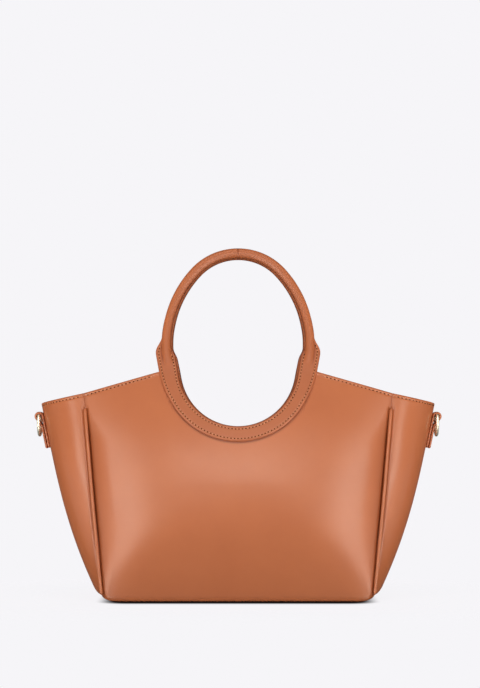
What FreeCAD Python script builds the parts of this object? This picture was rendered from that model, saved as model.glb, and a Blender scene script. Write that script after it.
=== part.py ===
import FreeCAD
import Part
import math
import os

import Sketcher
from FreeCAD import Placement, Rotation, Vector

# Top handle bag: a pillowed leather shell with two ring handles.
# The frame has +X to the right, +Y to the back and +Z up, and the origin is on the
# floor under the middle of the bag. Lengths are millimetres and angles are degrees.
# A reach is a distance from the middle plane between front and back.
# A half is a distance from the middle plane between left and right.

SIZES = (
    ("base_wall", 2.5, "leather under the base"),
    ("hinge_height", 226, "floor to the line that the handles bend on"),
    ("seam_half_base", 122, "piped seam at the base"),
    ("seam_half_top", 142.5, "seam line drawn on to the bending line's height"),
    ("seam_reach_base", 48, "piped seam at the base"),
    ("seam_reach_mid", 49, "piped seam halfway up"),
    ("seam_reach_top", 30, "seam line drawn on to the bending line's height"),
    ("crown_base", 2.5, "panel's middle in front of its seams, at the base"),
    ("crown_low", 25, "lower pull on the panel's crown"),
    ("crown_high", 18, "upper pull on the panel's crown"),
    ("crown_top", 4.2, "panel's crown at the bending line's height"),
    ("bulge_base", 6.5, "gusset's ridge outside its seams, at the base"),
    ("bulge_low", 37.9, "lower pull on the gusset's bulge"),
    ("bulge_high", 36.5, "upper pull on the gusset's bulge"),
    ("bulge_top", 49.3, "gusset's bulge at the bending line's height"),
    ("panel_wall", 2, "leather of panels and gussets"),
    ("facing_wall", 1.2, "leather inside the mouth"),
    ("lining_wall", 0.8, "fabric inside"),
    ("band_wall", 1.8, "leather of the handle band"),
    ("lay_gap", 0.2, "room between layers laid on each other"),
    ("piping_diameter", 3.2, "piped seam"),
    ("piping_bore", 1.8, "hollow of the piping"),
    ("cord_diameter", 1.6, "filler in the piping"),
    ("mouth_height_handle", 207.4, "top edge beside the handle band"),
    ("mouth_height_seam", 187.2, "top edge at the seam"),
    ("mouth_height_corner", 178.5, "top edge at the gusset's ridge"),
    ("facing_bottom", 125, "lower edge of the facing"),
    ("cutout_radius", 54, "hand cut-out"),
    ("cutout_height", 211.4, "centre of the hand cut-out"),
    ("band_width", 14.1, "handle band"),
    ("ear_outer_angle", 15, "where the outer edge leaves its arc, below level"),
    ("ear_inner_angle", 12, "where the inner edge leaves its arc, below level"),
    ("grip_diameter", 9.2, "rolled handle"),
    ("sleeve_wall", 1.4, "leather of the rolled handle"),
    ("core_diameter", 6.2, "cord in the rolled handle"),
    ("arch_half_width", 64.4, "handle's legs"),
    ("arch_crown_radius", 51.7, "top of the handle"),
    ("arch_rise", 92.5, "handle above the bending line"),
    ("arch_straight", 8, "straight run of each leg"),
    ("handle_lean_angle", 14.5, "handle towards the middle"),
    ("foot_lip", 0.3, "handle's rounded foot outside the rolled handle"),
    ("knuckle_gap", 0.4, "room round the handle's rounded foot"),
    ("ring_inner_width", 20, "D-ring"),
    ("ring_wire", 2.8, "D-ring"),
    ("ring_arm", 4, "straight run beside the bow"),
    ("ring_corner_radius", 2.6, "bend between bar and arm"),
    ("tab_width", 16, "strap tab"),
    ("tab_strap", 1.8, "one layer of the strap tab"),
    ("tab_length", 30, "eye to lower end"),
    ("tab_drop", 26, "middle of the tab below the gusset's top edge"),
    ("eye_clearance", 0.6, "room round the D-ring's bar"),
    ("base_corner_radius", 4, "base, seen from above"),
    ("base_edge_radius", 1.8, "base's lower edge"),
    ("board_thickness", 2.5, "stiffener in the base"),
    ("board_inset", 2, "room round the stiffener"),
    ("snap_diameter", 18, "magnetic snap"),
    ("snap_height", 133, "magnetic snap above the floor"),
    ("snap_thickness", 3, "socket half"),
    ("snap_plate", 1.2, "stud half's plate"),
    ("snap_post", 4.6, "stud's post"),
    ("snap_bore", 5.2, "socket's bore"),
    ("magnet_diameter", 12, "magnet in the socket"),
    ("magnet_thickness", 2.2, "magnet in the socket"),
    ("magnet_gap", 0.1, "room round the magnet"),
)

# Shares have no unit: how full the panel is, the grid's fineness and small steps on it.
CROWN_POWER = 5
COLUMNS = 17
ROWS = 9
STEP_SHARE = 0.001
OVERRUN_SHARE = 0.015
HALF = 0.5

document = FreeCAD.newDocument("TopHandleBag")


def make_sheet():
    """Write every size into one column of a sheet, with its name as the alias."""
    table = document.addObject("Spreadsheet::Sheet", "Sizes")
    for row, (alias, value, note) in enumerate(SIZES, start=1):
        table.set(f"A{row}", note)
        table.set(f"B{row}", str(value))
        table.setAlias(f"B{row}", alias)
    document.recompute()
    return table


sheet = make_sheet()
parts = []


def size(alias):
    """Read one size from the sheet."""
    return float(sheet.get(alias))


def add_feature(label, shape):
    """Keep a shape built from surfaces as one sub-part."""
    feature = document.addObject("Part::Feature", label)
    feature.Label = label
    feature.Shape = shape
    parts.append(feature)
    return feature


def add_body(label):
    """Start a sub-part that is built from sketches."""
    body = document.addObject("PartDesign::Body", label)
    body.Label = label
    parts.append(body)
    return body


def origin_plane(body, role):
    """Find one of a body's own planes."""
    return next(plane for plane in body.Origin.OriginFeatures if plane.Role == role)


def add_sketch(body, name, role):
    """Open a sketch on one of a body's own planes."""
    sketch = body.newObject("Sketcher::SketchObject", f"{body.Name}_{name}")
    sketch.AttachmentSupport = [(origin_plane(body, role), "")]
    sketch.MapMode = "FlatFace"
    return sketch


def bind(sketch, kind, places, value, expression):
    """Dimension a sketch and tie the dimension to the sheet."""
    index = sketch.addConstraint(Sketcher.Constraint(kind, *places, value))
    sketch.setExpression(f"Constraints[{index}]", expression)


def add_circle(sketch, radius, expression, middle=Vector()):
    """Draw a circle whose radius is tied to the sheet."""
    circle = sketch.addGeometry(Part.Circle(middle, Vector(0, 0, 1), radius))
    bind(sketch, "Radius", (circle,), radius, expression)
    return circle


def add_rectangle(sketch, low, high, expressions):
    """Draw a rectangle with its left, right, lower and upper edge tied to the sheet."""
    corners = (low, Vector(high.x, low.y), high, Vector(low.x, high.y))
    for start, end in zip(corners, corners[1:] + corners[:1]):
        sketch.addGeometry(Part.LineSegment(start, end))
    for first in range(len(corners)):
        second = (first + 1) % len(corners)
        sketch.addConstraint(Sketcher.Constraint("Coincident", first, 2, second, 1))
        direction = "Vertical" if first % 2 else "Horizontal"
        sketch.addConstraint(Sketcher.Constraint(direction, first))
    bind(sketch, "DistanceX", (-1, 1, 0, 1), low.x, expressions[0])
    bind(sketch, "DistanceX", (-1, 1, 2, 1), high.x, expressions[1])
    bind(sketch, "DistanceY", (-1, 1, 0, 1), low.y, expressions[2])
    bind(sketch, "DistanceY", (-1, 1, 2, 1), high.y, expressions[3])


def add_pad(body, sketch, length, middle=False):
    """Thicken a sketch by a length tied to the sheet, upwards or to both sides."""
    pad = body.newObject("PartDesign::Pad", f"{sketch.Name}_pad")
    pad.Profile = sketch
    pad.setExpression("Length", length)
    pad.Midplane = middle
    return pad


def add_pocket(body, sketch, length, middle=False):
    """Cut a sketch upwards into a body, or to both sides."""
    pocket = body.newObject("PartDesign::Pocket", f"{sketch.Name}_pocket")
    pocket.Profile = sketch
    pocket.setExpression("Length", length)
    pocket.Midplane = middle
    pocket.Reversed = not middle
    return pocket


def add_pipe(body, kind, profile, path):
    """Run a profile along every edge of a path, to add or to take away."""
    pipe = body.newObject(f"PartDesign::{kind}", f"{profile.Name}_pipe")
    pipe.Profile = profile
    edges = [f"Edge{number + 1}" for number in range(path.GeometryCount)]
    pipe.Spine = (path, edges)
    return pipe


# The wall surfaces: every layer of the shell is an offset of one of two surfaces.

wall_height = size("hinge_height") - size("base_wall")
stack = size("panel_wall") + size("lay_gap")
seam_mid_height = size("base_wall") + wall_height * HALF
seam_mid_half = (size("seam_half_base") + size("seam_half_top")) * HALF
seam_curve = Part.Arc(
    Vector(size("seam_half_base"), -size("seam_reach_base"), size("base_wall")),
    Vector(seam_mid_half, -size("seam_reach_mid"), seam_mid_height),
    Vector(size("seam_half_top"), -size("seam_reach_top"), size("hinge_height")),
)


def seam_point(rise):
    """Point of the right front seam, with rise from 0 at the base to 1 at the bending line."""
    first, last = seam_curve.FirstParameter, seam_curve.LastParameter
    return seam_curve.value(first + (last - first) * rise)


def height_share(height):
    """Share of the wall's height that a height above the floor has reached."""
    return (height - size("base_wall")) / wall_height


def pulled(name, rise):
    """Cubic curve from a base size to a top size, drawn towards the low and high size between."""
    rest = 1 - rise
    low_side = rest ** 3 * size(f"{name}_base") + 3 * rest ** 2 * rise * size(f"{name}_low")
    high_side = 3 * rest * rise ** 2 * size(f"{name}_high") + rise ** 3 * size(f"{name}_top")
    return low_side + high_side


def panel_point(across, rise):
    """Point of the front panel, with across from -1 at the left seam to 1 at the right one."""
    seam = seam_point(rise)
    crown = pulled("crown", rise) * (1 - abs(across) ** CROWN_POWER)
    return Vector(across * seam.x, seam.y - crown, seam.z)


def gusset_arc(rise):
    """Radius, middle and half angle of the right gusset's level arc."""
    seam = seam_point(rise)
    bulge = pulled("bulge", rise)
    radius = (bulge ** 2 + seam.y ** 2) / (2 * bulge)
    middle = seam.x + bulge - radius
    return radius, middle, math.atan2(-seam.y, seam.x - middle)


def gusset_point(across, rise):
    """Point of the right gusset, with across from -1 at the front seam to 1 at the back one."""
    radius, middle, half_angle = gusset_arc(rise)
    angle = across * half_angle
    return Vector(middle + radius * math.cos(angle), radius * math.sin(angle), seam_point(rise).z)


def panel_edge(trim, rise):
    """Share across the panel that stays clear of the seam by a trim."""
    return 1 - trim / seam_point(rise).x


def gusset_edge(trim, rise):
    """Share across the gusset that stays clear of the seam by a trim."""
    radius, middle, half_angle = gusset_arc(rise)
    return 1 - trim / (radius * half_angle)


def outward(point, across, rise):
    """Unit normal of a wall surface, away from the inside of the bag."""
    level = point(across + STEP_SHARE, rise) - point(across - STEP_SHARE, rise)
    upright = point(across, rise + STEP_SHARE) - point(across, rise - STEP_SHARE)
    return level.cross(upright).normalize()


def offset_surface(point, edge, trim, offset, low, high):
    """Smooth surface through a grid of points that lie an offset outside a wall surface."""
    grid = []
    for row in range(ROWS):
        rise = low + (high - low) * row / (ROWS - 1)
        limit = edge(trim, rise)
        line = []
        for column in range(COLUMNS):
            across = limit * (2 * column / (COLUMNS - 1) - 1)
            line.append(point(across, rise) + outward(point, across, rise) * offset)
        grid.append(line)
    surface = Part.BSplineSurface()
    surface.interpolate(grid)
    return surface


def layer(point, edge, trim, outer, inner, low=-OVERRUN_SHARE, high=1):
    """Closed sheet between two offsets of a wall surface."""
    skins = [offset_surface(point, edge, trim, offset, low, high) for offset in (outer, inner)]
    faces = [skin.toShape() for skin in skins]
    start_u, end_u, start_v, end_v = skins[0].bounds()
    for place in (start_u, end_u):
        faces.append(Part.makeRuledSurface(*[skin.uIso(place).toShape() for skin in skins]))
    for place in (start_v, end_v):
        faces.append(Part.makeRuledSurface(*[skin.vIso(place).toShape() for skin in skins]))
    shell = Part.makeShell(faces)
    shell.sewShape()
    solid = Part.makeSolid(shell)
    if solid.Volume < 0:
        solid.reverse()
    return solid


def mirrored_back(shape):
    """The same piece on the back of the bag."""
    return shape.mirror(Vector(), Vector(0, 1, 0))


def mirrored_left(shape):
    """The same piece on the left of the bag."""
    return shape.mirror(Vector(), Vector(1, 0, 0))


# Outlines seen from the front, drawn through the bag's depth.

far_reach = 2 * (size("seam_reach_mid") + size("crown_low"))
far_half = 2 * (size("seam_half_top") + size("bulge_top"))
band_radius = size("cutout_radius") + size("band_width")


def front_view(half, height):
    """Point of an outline as it is seen from the front."""
    return Vector(half, -far_reach, height)


def prism(edges):
    """Closed outline drawn from in front of the bag to behind it."""
    face = Part.Face(Part.Wire(edges))
    return face.extrude(Vector(0, 2 * far_reach, 0))


def polygon_prism(points):
    """Straight-sided outline drawn through the bag."""
    return prism(Part.makePolygon(points + points[:1]).Edges)


def wall_outline(low):
    """Everything between a level and the mouth's sloping top edges."""
    fall = size("mouth_height_handle") - size("mouth_height_seam")
    seam_half = seam_point(height_share(size("mouth_height_seam"))).x
    corner_half = gusset_point(0, height_share(size("mouth_height_corner"))).x
    corner_fall = size("mouth_height_seam") - size("mouth_height_corner")
    end_half = corner_half + (corner_half - seam_half)
    end_height = size("mouth_height_corner") - corner_fall
    right = [
        front_view(end_half, low),
        front_view(end_half, end_height),
        front_view(seam_half, size("mouth_height_handle") - fall),
        front_view(band_radius, size("mouth_height_handle")),
    ]
    left = [Vector(-point.x, point.y, point.z) for point in reversed(right)]
    return polygon_prism(right + left)


def arc_foot(radius, angle):
    """Point where an ear's edge leaves the band's arc, on the right."""
    turn = math.radians(angle)
    return front_view(radius * math.cos(turn), size("cutout_height") - radius * math.sin(turn))


def ear_tip(radius, angle):
    """Point where an ear's straight edge reaches the bending line, on the right."""
    foot = arc_foot(radius, angle)
    half = foot.x + (size("hinge_height") - foot.z) * math.tan(math.radians(angle))
    return front_view(half, size("hinge_height"))


def to_left(point):
    """The same point on the left."""
    return Vector(-point.x, point.y, point.z)


def band_outline():
    """U of the handle band: two arcs round the cut-out that run on into straight ears."""
    inner_radius, outer_radius = size("cutout_radius"), band_radius
    inner_foot = arc_foot(inner_radius, size("ear_inner_angle"))
    inner_tip = ear_tip(inner_radius, size("ear_inner_angle"))
    outer_foot = arc_foot(outer_radius, size("ear_outer_angle"))
    outer_tip = ear_tip(outer_radius, size("ear_outer_angle"))
    inner_low = front_view(0, size("cutout_height") - inner_radius)
    outer_low = front_view(0, size("cutout_height") - outer_radius)
    return prism([
        Part.Arc(to_left(outer_foot), outer_low, outer_foot).toShape(),
        Part.makeLine(outer_foot, outer_tip),
        Part.makeLine(outer_tip, inner_tip),
        Part.makeLine(inner_tip, inner_foot),
        Part.Arc(inner_foot, inner_low, to_left(inner_foot)).toShape(),
        Part.makeLine(to_left(inner_foot), to_left(inner_tip)),
        Part.makeLine(to_left(inner_tip), to_left(outer_tip)),
        Part.makeLine(to_left(outer_tip), to_left(outer_foot)),
    ])


def hand_cutout():
    """Cylinder of the hand cut-out, through the whole bag."""
    foot = front_view(0, size("cutout_height"))
    return Part.makeCylinder(size("cutout_radius"), 2 * far_reach, foot, Vector(0, 1, 0))


# The bending line of the front handle, and the room round the handle's rounded feet.

hinge_across = size("arch_half_width") / size("seam_half_top")
hinge_reach = -panel_point(hinge_across, 1).y - size("panel_wall") * HALF
hinge_middle = Vector(0, -hinge_reach, size("hinge_height"))
foot_radius = size("grip_diameter") * HALF + size("foot_lip")


def knuckle_room():
    """Cylinder along the bending line that the ears stop at."""
    radius = foot_radius + size("knuckle_gap")
    foot = hinge_middle - Vector(far_half, 0, 0)
    return Part.makeCylinder(radius, 2 * far_half, foot, Vector(1, 0, 0))


# Panels and gussets: the leather shell.

wall_trim = size("panel_wall") + size("lay_gap")
whole_wall = wall_outline(size("base_wall"))

panel = layer(panel_point, panel_edge, wall_trim, 0, -size("panel_wall"))
panel = panel.common(whole_wall).cut(hand_cutout())
add_feature("front_panel", panel)
add_feature("back_panel", mirrored_back(panel))

gusset = layer(gusset_point, gusset_edge, wall_trim, 0, -size("panel_wall"))
gusset = gusset.common(whole_wall)
add_feature("right_gusset", gusset)
add_feature("left_gusset", mirrored_left(gusset))

# Facings: leather inside the mouth. The panel's facing backs the band's ears as well.

inner_stack = stack + size("facing_wall")
inner_trim = inner_stack + size("lay_gap")
facing_area = wall_outline(size("facing_bottom"))

panel_facing = layer(panel_point, panel_edge, inner_trim, -stack, -inner_stack)
panel_facing = panel_facing.common(facing_area.fuse(band_outline()))
panel_facing = panel_facing.cut(hand_cutout()).cut(knuckle_room())
add_feature("front_facing", panel_facing)
add_feature("back_facing", mirrored_back(panel_facing))

gusset_facing = layer(gusset_point, gusset_edge, inner_trim, -stack, -inner_stack)
gusset_facing = gusset_facing.common(facing_area)
add_feature("right_gusset_facing", gusset_facing)
add_feature("left_gusset_facing", mirrored_left(gusset_facing))

# Linings: fabric from the facings down to the base.

lining_stack = stack + size("lining_wall")
lining_top = size("facing_bottom") - size("lay_gap")
lining_area = polygon_prism([
    front_view(far_half, size("base_wall")),
    front_view(far_half, lining_top),
    front_view(-far_half, lining_top),
    front_view(-far_half, size("base_wall")),
])

panel_lining = layer(panel_point, panel_edge, inner_trim, -stack, -lining_stack)
panel_lining = panel_lining.common(lining_area)
add_feature("front_lining", panel_lining)
add_feature("back_lining", mirrored_back(panel_lining))

gusset_lining = layer(gusset_point, gusset_edge, inner_trim, -stack, -lining_stack)
gusset_lining = gusset_lining.common(lining_area)
add_feature("right_gusset_lining", gusset_lining)
add_feature("left_gusset_lining", mirrored_left(gusset_lining))

# Pipings: a leather tube in each seam, with a filler cord in it.

piping_low = size("piping_diameter") / wall_height
piping_high = height_share(size("mouth_height_seam") - size("piping_diameter"))


def seam_tube(diameter):
    """Round rod along the right front seam."""
    start, middle, end = (
        seam_point(rise) for rise in (piping_low, (piping_low + piping_high) * HALF, piping_high)
    )
    route = Part.Arc(start, middle, end)
    tangent = route.tangent(route.FirstParameter)[0]
    profile = Part.Wire(Part.makeCircle(diameter * HALF, start, tangent))
    return Part.Wire(route.toShape()).makePipeShell([profile], True, False)


piping = seam_tube(size("piping_diameter")).cut(seam_tube(size("piping_bore")))
add_feature("front_right_piping", piping)
add_feature("front_left_piping", mirrored_left(piping))
add_feature("back_right_piping", mirrored_back(piping))
add_feature("back_left_piping", mirrored_back(mirrored_left(piping)))

right_cord = seam_tube(size("cord_diameter"))
front_cords = [right_cord, mirrored_left(right_cord)]
back_cords = [mirrored_back(cord) for cord in front_cords]
add_feature("piping_cords", Part.makeCompound(front_cords + back_cords))

# Handle bands: a U of leather laid on each panel, open at the top for the handle's feet.

band_outside = size("lay_gap") + size("band_wall")
band = layer(panel_point, panel_edge, wall_trim, band_outside, size("lay_gap"))
band = band.common(band_outline()).cut(knuckle_room())
add_feature("front_handle_band", band)
add_feature("back_handle_band", mirrored_back(band))

# Handles: a rolled leather sleeve on a cord core, drawn in the plane of its arch.

ARCH_SHOULDER = (
    "((Sizes.arch_half_width)^2 + (Sizes.arch_rise - Sizes.arch_crown_radius - Sizes.arch_straight)^2"
    " - (Sizes.arch_crown_radius)^2) / (2 * (Sizes.arch_half_width - Sizes.arch_crown_radius))"
)


def arch_path(body, start):
    """Path of a handle: leg, shoulder, crown, shoulder and leg, each tangent to the next."""
    half, crown = size("arch_half_width"), size("arch_crown_radius")
    straight = size("arch_straight")
    lift = size("arch_rise") - crown - straight
    shoulder = (half ** 2 + lift ** 2 - crown ** 2) / (2 * (half - crown))
    turn = math.atan2(lift, shoulder - half)
    up = Vector(0, 0, 1)
    sketch = add_sketch(body, "path", "XZ_Plane")
    right = Part.Circle(Vector(half - shoulder, straight), up, shoulder)
    top = Part.Circle(Vector(0, straight + lift), up, crown)
    left = Part.Circle(Vector(shoulder - half, straight), up, shoulder)
    sketch.addGeometry(Part.LineSegment(Vector(half, start), Vector(half, straight)))
    right_shoulder = sketch.addGeometry(Part.ArcOfCircle(right, 0, turn))
    top_crown = sketch.addGeometry(Part.ArcOfCircle(top, turn, math.pi - turn))
    left_shoulder = sketch.addGeometry(Part.ArcOfCircle(left, math.pi - turn, math.pi))
    sketch.addGeometry(Part.LineSegment(Vector(-half, straight), Vector(-half, start)))
    bind(sketch, "Radius", (right_shoulder,), shoulder, ARCH_SHOULDER)
    bind(sketch, "Radius", (top_crown,), crown, "Sizes.arch_crown_radius")
    bind(sketch, "Radius", (left_shoulder,), shoulder, ARCH_SHOULDER)
    return sketch


def leg_profile(body, name, start, diameter):
    """Round section of a handle's right leg."""
    sketch = add_sketch(body, name, "XY_Plane")
    sketch.AttachmentOffset = Placement(Vector(0, 0, start), Rotation())
    middle = Vector(size("arch_half_width"), 0)
    add_circle(sketch, size(diameter) * HALF, f"Sizes.{diameter} / 2", middle)
    return sketch


def make_grip(label):
    """Hollow sleeve with a rounded foot across each end."""
    body = add_body(label)
    path = arch_path(body, 0)
    outside = leg_profile(body, "outside", 0, "grip_diameter")
    document.recompute()
    add_pipe(body, "AdditivePipe", outside, path)
    bore = add_sketch(body, "bore", "XY_Plane")
    bore_radius = size("grip_diameter") * HALF - size("sleeve_wall")
    add_circle(bore, bore_radius, "Sizes.grip_diameter / 2 - Sizes.sleeve_wall",
               Vector(size("arch_half_width"), 0))
    document.recompute()
    add_pipe(body, "SubtractivePipe", bore, path)
    foot = add_sketch(body, "foot", "YZ_Plane")
    foot.setExpression("AttachmentOffset.Base.z", "Sizes.arch_half_width - Sizes.band_width / 2")
    add_circle(foot, foot_radius, "Sizes.grip_diameter / 2 + Sizes.foot_lip")
    document.recompute()
    right_foot = add_pad(body, foot, "Sizes.band_width")
    document.recompute()
    both_feet = body.newObject("PartDesign::Mirrored", f"{label}_feet")
    both_feet.Originals = [right_foot]
    both_feet.MirrorPlane = (origin_plane(body, "YZ_Plane"), [""])
    body.Tip = both_feet
    return body


def make_core(label):
    """Cord in the sleeve, from one rounded foot to the other."""
    body = add_body(label)
    start = foot_radius + size("lay_gap")
    path = arch_path(body, start)
    profile = leg_profile(body, "section", start, "core_diameter")
    document.recompute()
    add_pipe(body, "AdditivePipe", profile, path)
    return body


right_axis = Vector(1, 0, 0)
front_lean = Placement(hinge_middle, Rotation(right_axis, -size("handle_lean_angle")))
back_middle = Vector(hinge_middle.x, -hinge_middle.y, hinge_middle.z)
back_lean = Placement(back_middle, Rotation(right_axis, size("handle_lean_angle")))

for side, lean in (("front", front_lean), ("back", back_lean)):
    make_grip(f"{side}_handle_grip").Placement = lean
    make_core(f"{side}_handle_core").Placement = lean

# Strap tabs and D-rings: a strap folded round the ring's bar and sewn to the gusset's ridge.

eye_radius = size("ring_wire") * HALF + size("eye_clearance")
eye_outside = eye_radius + size("tab_strap")
EYE_RADIUS = "(Sizes.ring_wire / 2 + Sizes.eye_clearance)"
EYE_OUTSIDE = f"({EYE_RADIUS} + Sizes.tab_strap)"


def make_tab(label):
    """Folded strap on the right: an eye round the bar and two layers hanging from it."""
    body = add_body(label)
    eye = add_sketch(body, "eye", "XZ_Plane")
    add_circle(eye, eye_outside, EYE_OUTSIDE)
    document.recompute()
    add_pad(body, eye, "Sizes.tab_width", middle=True)
    legs = add_sketch(body, "legs", "XZ_Plane")
    low = Vector(-eye_outside, -size("tab_length"))
    high = Vector(-eye_outside + 2 * size("tab_strap"), 0)
    add_rectangle(legs, low, high, (
        f"-{EYE_OUTSIDE}", f"2 * Sizes.tab_strap - {EYE_OUTSIDE}", "-Sizes.tab_length", "0"))
    document.recompute()
    add_pad(body, legs, "Sizes.tab_width", middle=True)
    bore = add_sketch(body, "bore", "XZ_Plane")
    add_circle(bore, eye_radius, EYE_RADIUS)
    document.recompute()
    add_pocket(body, bore, "2 * Sizes.tab_width", middle=True)
    return body


def make_ring(label):
    """D-ring that hangs from its bar: bar, two rounded corners, two arms and a bow."""
    body = add_body(label)
    corner = size("ring_corner_radius")
    bow = (size("ring_inner_width") + size("ring_wire")) * HALF
    bar_half = bow - corner
    arm_end = -corner - size("ring_arm")
    up = Vector(0, 0, 1)
    quarter = math.pi * HALF
    path = add_sketch(body, "path", "YZ_Plane")
    right_corner = Part.Circle(Vector(bar_half, -corner), up, corner)
    left_corner = Part.Circle(Vector(-bar_half, -corner), up, corner)
    lower = Part.Circle(Vector(0, arm_end), up, bow)
    path.addGeometry(Part.LineSegment(Vector(-bar_half, 0), Vector(bar_half, 0)))
    right_bend = path.addGeometry(Part.ArcOfCircle(right_corner, 0, quarter))
    path.addGeometry(Part.LineSegment(Vector(bow, -corner), Vector(bow, arm_end)))
    lower_bow = path.addGeometry(Part.ArcOfCircle(lower, math.pi, 2 * math.pi))
    path.addGeometry(Part.LineSegment(Vector(-bow, arm_end), Vector(-bow, -corner)))
    left_bend = path.addGeometry(Part.ArcOfCircle(left_corner, quarter, math.pi))
    bind(path, "Radius", (right_bend,), corner, "Sizes.ring_corner_radius")
    bind(path, "Radius", (lower_bow,), bow, "(Sizes.ring_inner_width + Sizes.ring_wire) / 2")
    bind(path, "Radius", (left_bend,), corner, "Sizes.ring_corner_radius")
    wire = add_sketch(body, "wire", "XZ_Plane")
    add_circle(wire, size("ring_wire") * HALF, "Sizes.ring_wire / 2")
    document.recompute()
    add_pipe(body, "AdditivePipe", wire, path)
    return body


tab_share = height_share(size("mouth_height_corner") - size("tab_drop"))
tab_out = outward(gusset_point, 0, tab_share)
tab_along = Vector(-tab_out.z, 0, tab_out.x)
tab_slope = math.atan2(tab_along.x, tab_along.z)
ridge_place = gusset_point(0, tab_share)
eye_middle = (
    ridge_place + tab_along * (size("tab_length") * HALF) + tab_out * (eye_outside + size("lay_gap"))
)
tab_turn = Rotation(Vector(0, 1, 0), math.degrees(tab_slope))
half_turn = Placement(Vector(), Rotation(Vector(0, 0, 1), math.degrees(math.pi)))

right_tab_place = Placement(eye_middle, tab_turn)
right_ring_place = Placement(eye_middle, Rotation())
make_tab("right_ring_tab").Placement = right_tab_place
make_tab("left_ring_tab").Placement = half_turn.multiply(right_tab_place)
make_ring("right_d_ring").Placement = right_ring_place
make_ring("left_d_ring").Placement = half_turn.multiply(right_ring_place)

# Base: leather sole, a stiff board and the lining on it.


def round_edges(body, base, edges, radius):
    """Round some edges of a body's last feature."""
    rounding = body.newObject("PartDesign::Fillet", f"{base.Name}_rounding")
    rounding.Base = (base, edges)
    rounding.setExpression("Radius", radius)
    document.recompute()
    return rounding


def upright_edges(shape):
    """Names of the edges that stand upright."""
    return [
        f"Edge{number}" for number, edge in enumerate(shape.Edges, start=1)
        if abs(edge.tangentAt(edge.FirstParameter).z) > HALF
    ]


def floor_edges(shape):
    """Names of the edges that lie on the floor."""
    return [
        f"Edge{number}" for number, edge in enumerate(shape.Edges, start=1)
        if edge.BoundBox.ZMax < size("base_wall") * HALF
    ]


def make_sole(label):
    """Leather under the bag, bowed outwards between its corners as the walls on it are."""
    body = add_body(label)
    half, reach = size("seam_half_base"), size("seam_reach_base")
    crown, bulge = size("crown_base"), size("bulge_base")
    outline = add_sketch(body, "outline", "XY_Plane")
    corners = (Vector(half, -reach), Vector(half, reach), Vector(-half, reach), Vector(-half, -reach))
    bows = (Vector(half + bulge, 0), Vector(0, reach + crown), Vector(-half - bulge, 0),
            Vector(0, -reach - crown))
    side_radius = (reach ** 2 + bulge ** 2) / (2 * bulge)
    front_radius = (half ** 2 + crown ** 2) / (2 * crown)
    bow_radii = (
        (side_radius, "((Sizes.seam_reach_base)^2 + (Sizes.bulge_base)^2) / (2 * Sizes.bulge_base)"),
        (front_radius, "((Sizes.seam_half_base)^2 + (Sizes.crown_base)^2) / (2 * Sizes.crown_base)"),
    )
    for start, bow, end in zip(corners, bows, corners[1:] + corners[:1]):
        outline.addGeometry(Part.Arc(start, bow, end))
    for arc in range(len(corners)):
        radius, expression = bow_radii[arc % len(bow_radii)]
        bind(outline, "Radius", (arc,), radius, expression)
    document.recompute()
    pad = add_pad(body, outline, "Sizes.base_wall")
    document.recompute()
    corner_rounding = round_edges(body, pad, upright_edges(pad.Shape), "Sizes.base_corner_radius")
    round_edges(body, corner_rounding, floor_edges(corner_rounding.Shape), "Sizes.base_edge_radius")
    return body


def make_plate(label, halves, expressions, thickness):
    """Flat plate with rounded corners, on its own ground plane."""
    body = add_body(label)
    outline = add_sketch(body, "outline", "XY_Plane")
    half_length, half_depth = halves
    length, depth = expressions
    add_rectangle(outline, Vector(-half_length, -half_depth), Vector(half_length, half_depth),
                  (f"-({length})", length, f"-({depth})", depth))
    document.recompute()
    pad = add_pad(body, outline, thickness)
    document.recompute()
    round_edges(body, pad, upright_edges(pad.Shape), "Sizes.base_corner_radius")
    return body


make_sole("base_panel")

board_room = inner_stack + size("board_inset")
board_halves = (size("seam_half_base") - board_room, size("seam_reach_base") - board_room)
BOARD_ROOM = "Sizes.panel_wall - Sizes.lay_gap - Sizes.facing_wall - Sizes.board_inset"
board_expressions = (f"Sizes.seam_half_base - {BOARD_ROOM}", f"Sizes.seam_reach_base - {BOARD_ROOM}")
board = make_plate("base_board", board_halves, board_expressions, "Sizes.board_thickness")
board.Placement = Placement(Vector(0, 0, size("base_wall")), Rotation())

base_lining = make_plate("base_lining", board_halves, board_expressions, "Sizes.lining_wall")
board_top = size("base_wall") + size("board_thickness")
base_lining.Placement = Placement(Vector(0, 0, board_top), Rotation())

# Magnetic snap: a socket with a ring magnet on the front facing, a stud on the back one.

snap_rise = height_share(size("snap_height"))
snap_out = outward(panel_point, 0, snap_rise)
snap_seat = panel_point(0, snap_rise) - snap_out * (inner_stack + size("lay_gap"))
front_turn = Rotation(Vector(0, 0, 1), -snap_out)
front_snap = Placement(snap_seat, front_turn)
back_seat = Vector(snap_seat.x, -snap_seat.y, snap_seat.z)
back_turn = Rotation(Vector(0, 0, 1), Vector(-snap_out.x, snap_out.y, -snap_out.z))
back_snap = Placement(back_seat, back_turn)

socket = add_body("snap_socket")
socket_disc = add_sketch(socket, "disc", "XY_Plane")
add_circle(socket_disc, size("snap_diameter") * HALF, "Sizes.snap_diameter / 2")
document.recompute()
add_pad(socket, socket_disc, "Sizes.snap_thickness")
magnet_seat = add_sketch(socket, "magnet_seat", "XY_Plane")
add_circle(magnet_seat, size("magnet_diameter") * HALF + size("magnet_gap"),
           "Sizes.magnet_diameter / 2 + Sizes.magnet_gap")
document.recompute()
add_pocket(socket, magnet_seat, "Sizes.magnet_thickness + Sizes.magnet_gap")
socket_bore = add_sketch(socket, "bore", "XY_Plane")
add_circle(socket_bore, size("snap_bore") * HALF, "Sizes.snap_bore / 2")
document.recompute()
add_pocket(socket, socket_bore, "2 * Sizes.snap_thickness")
socket.Placement = front_snap

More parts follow.
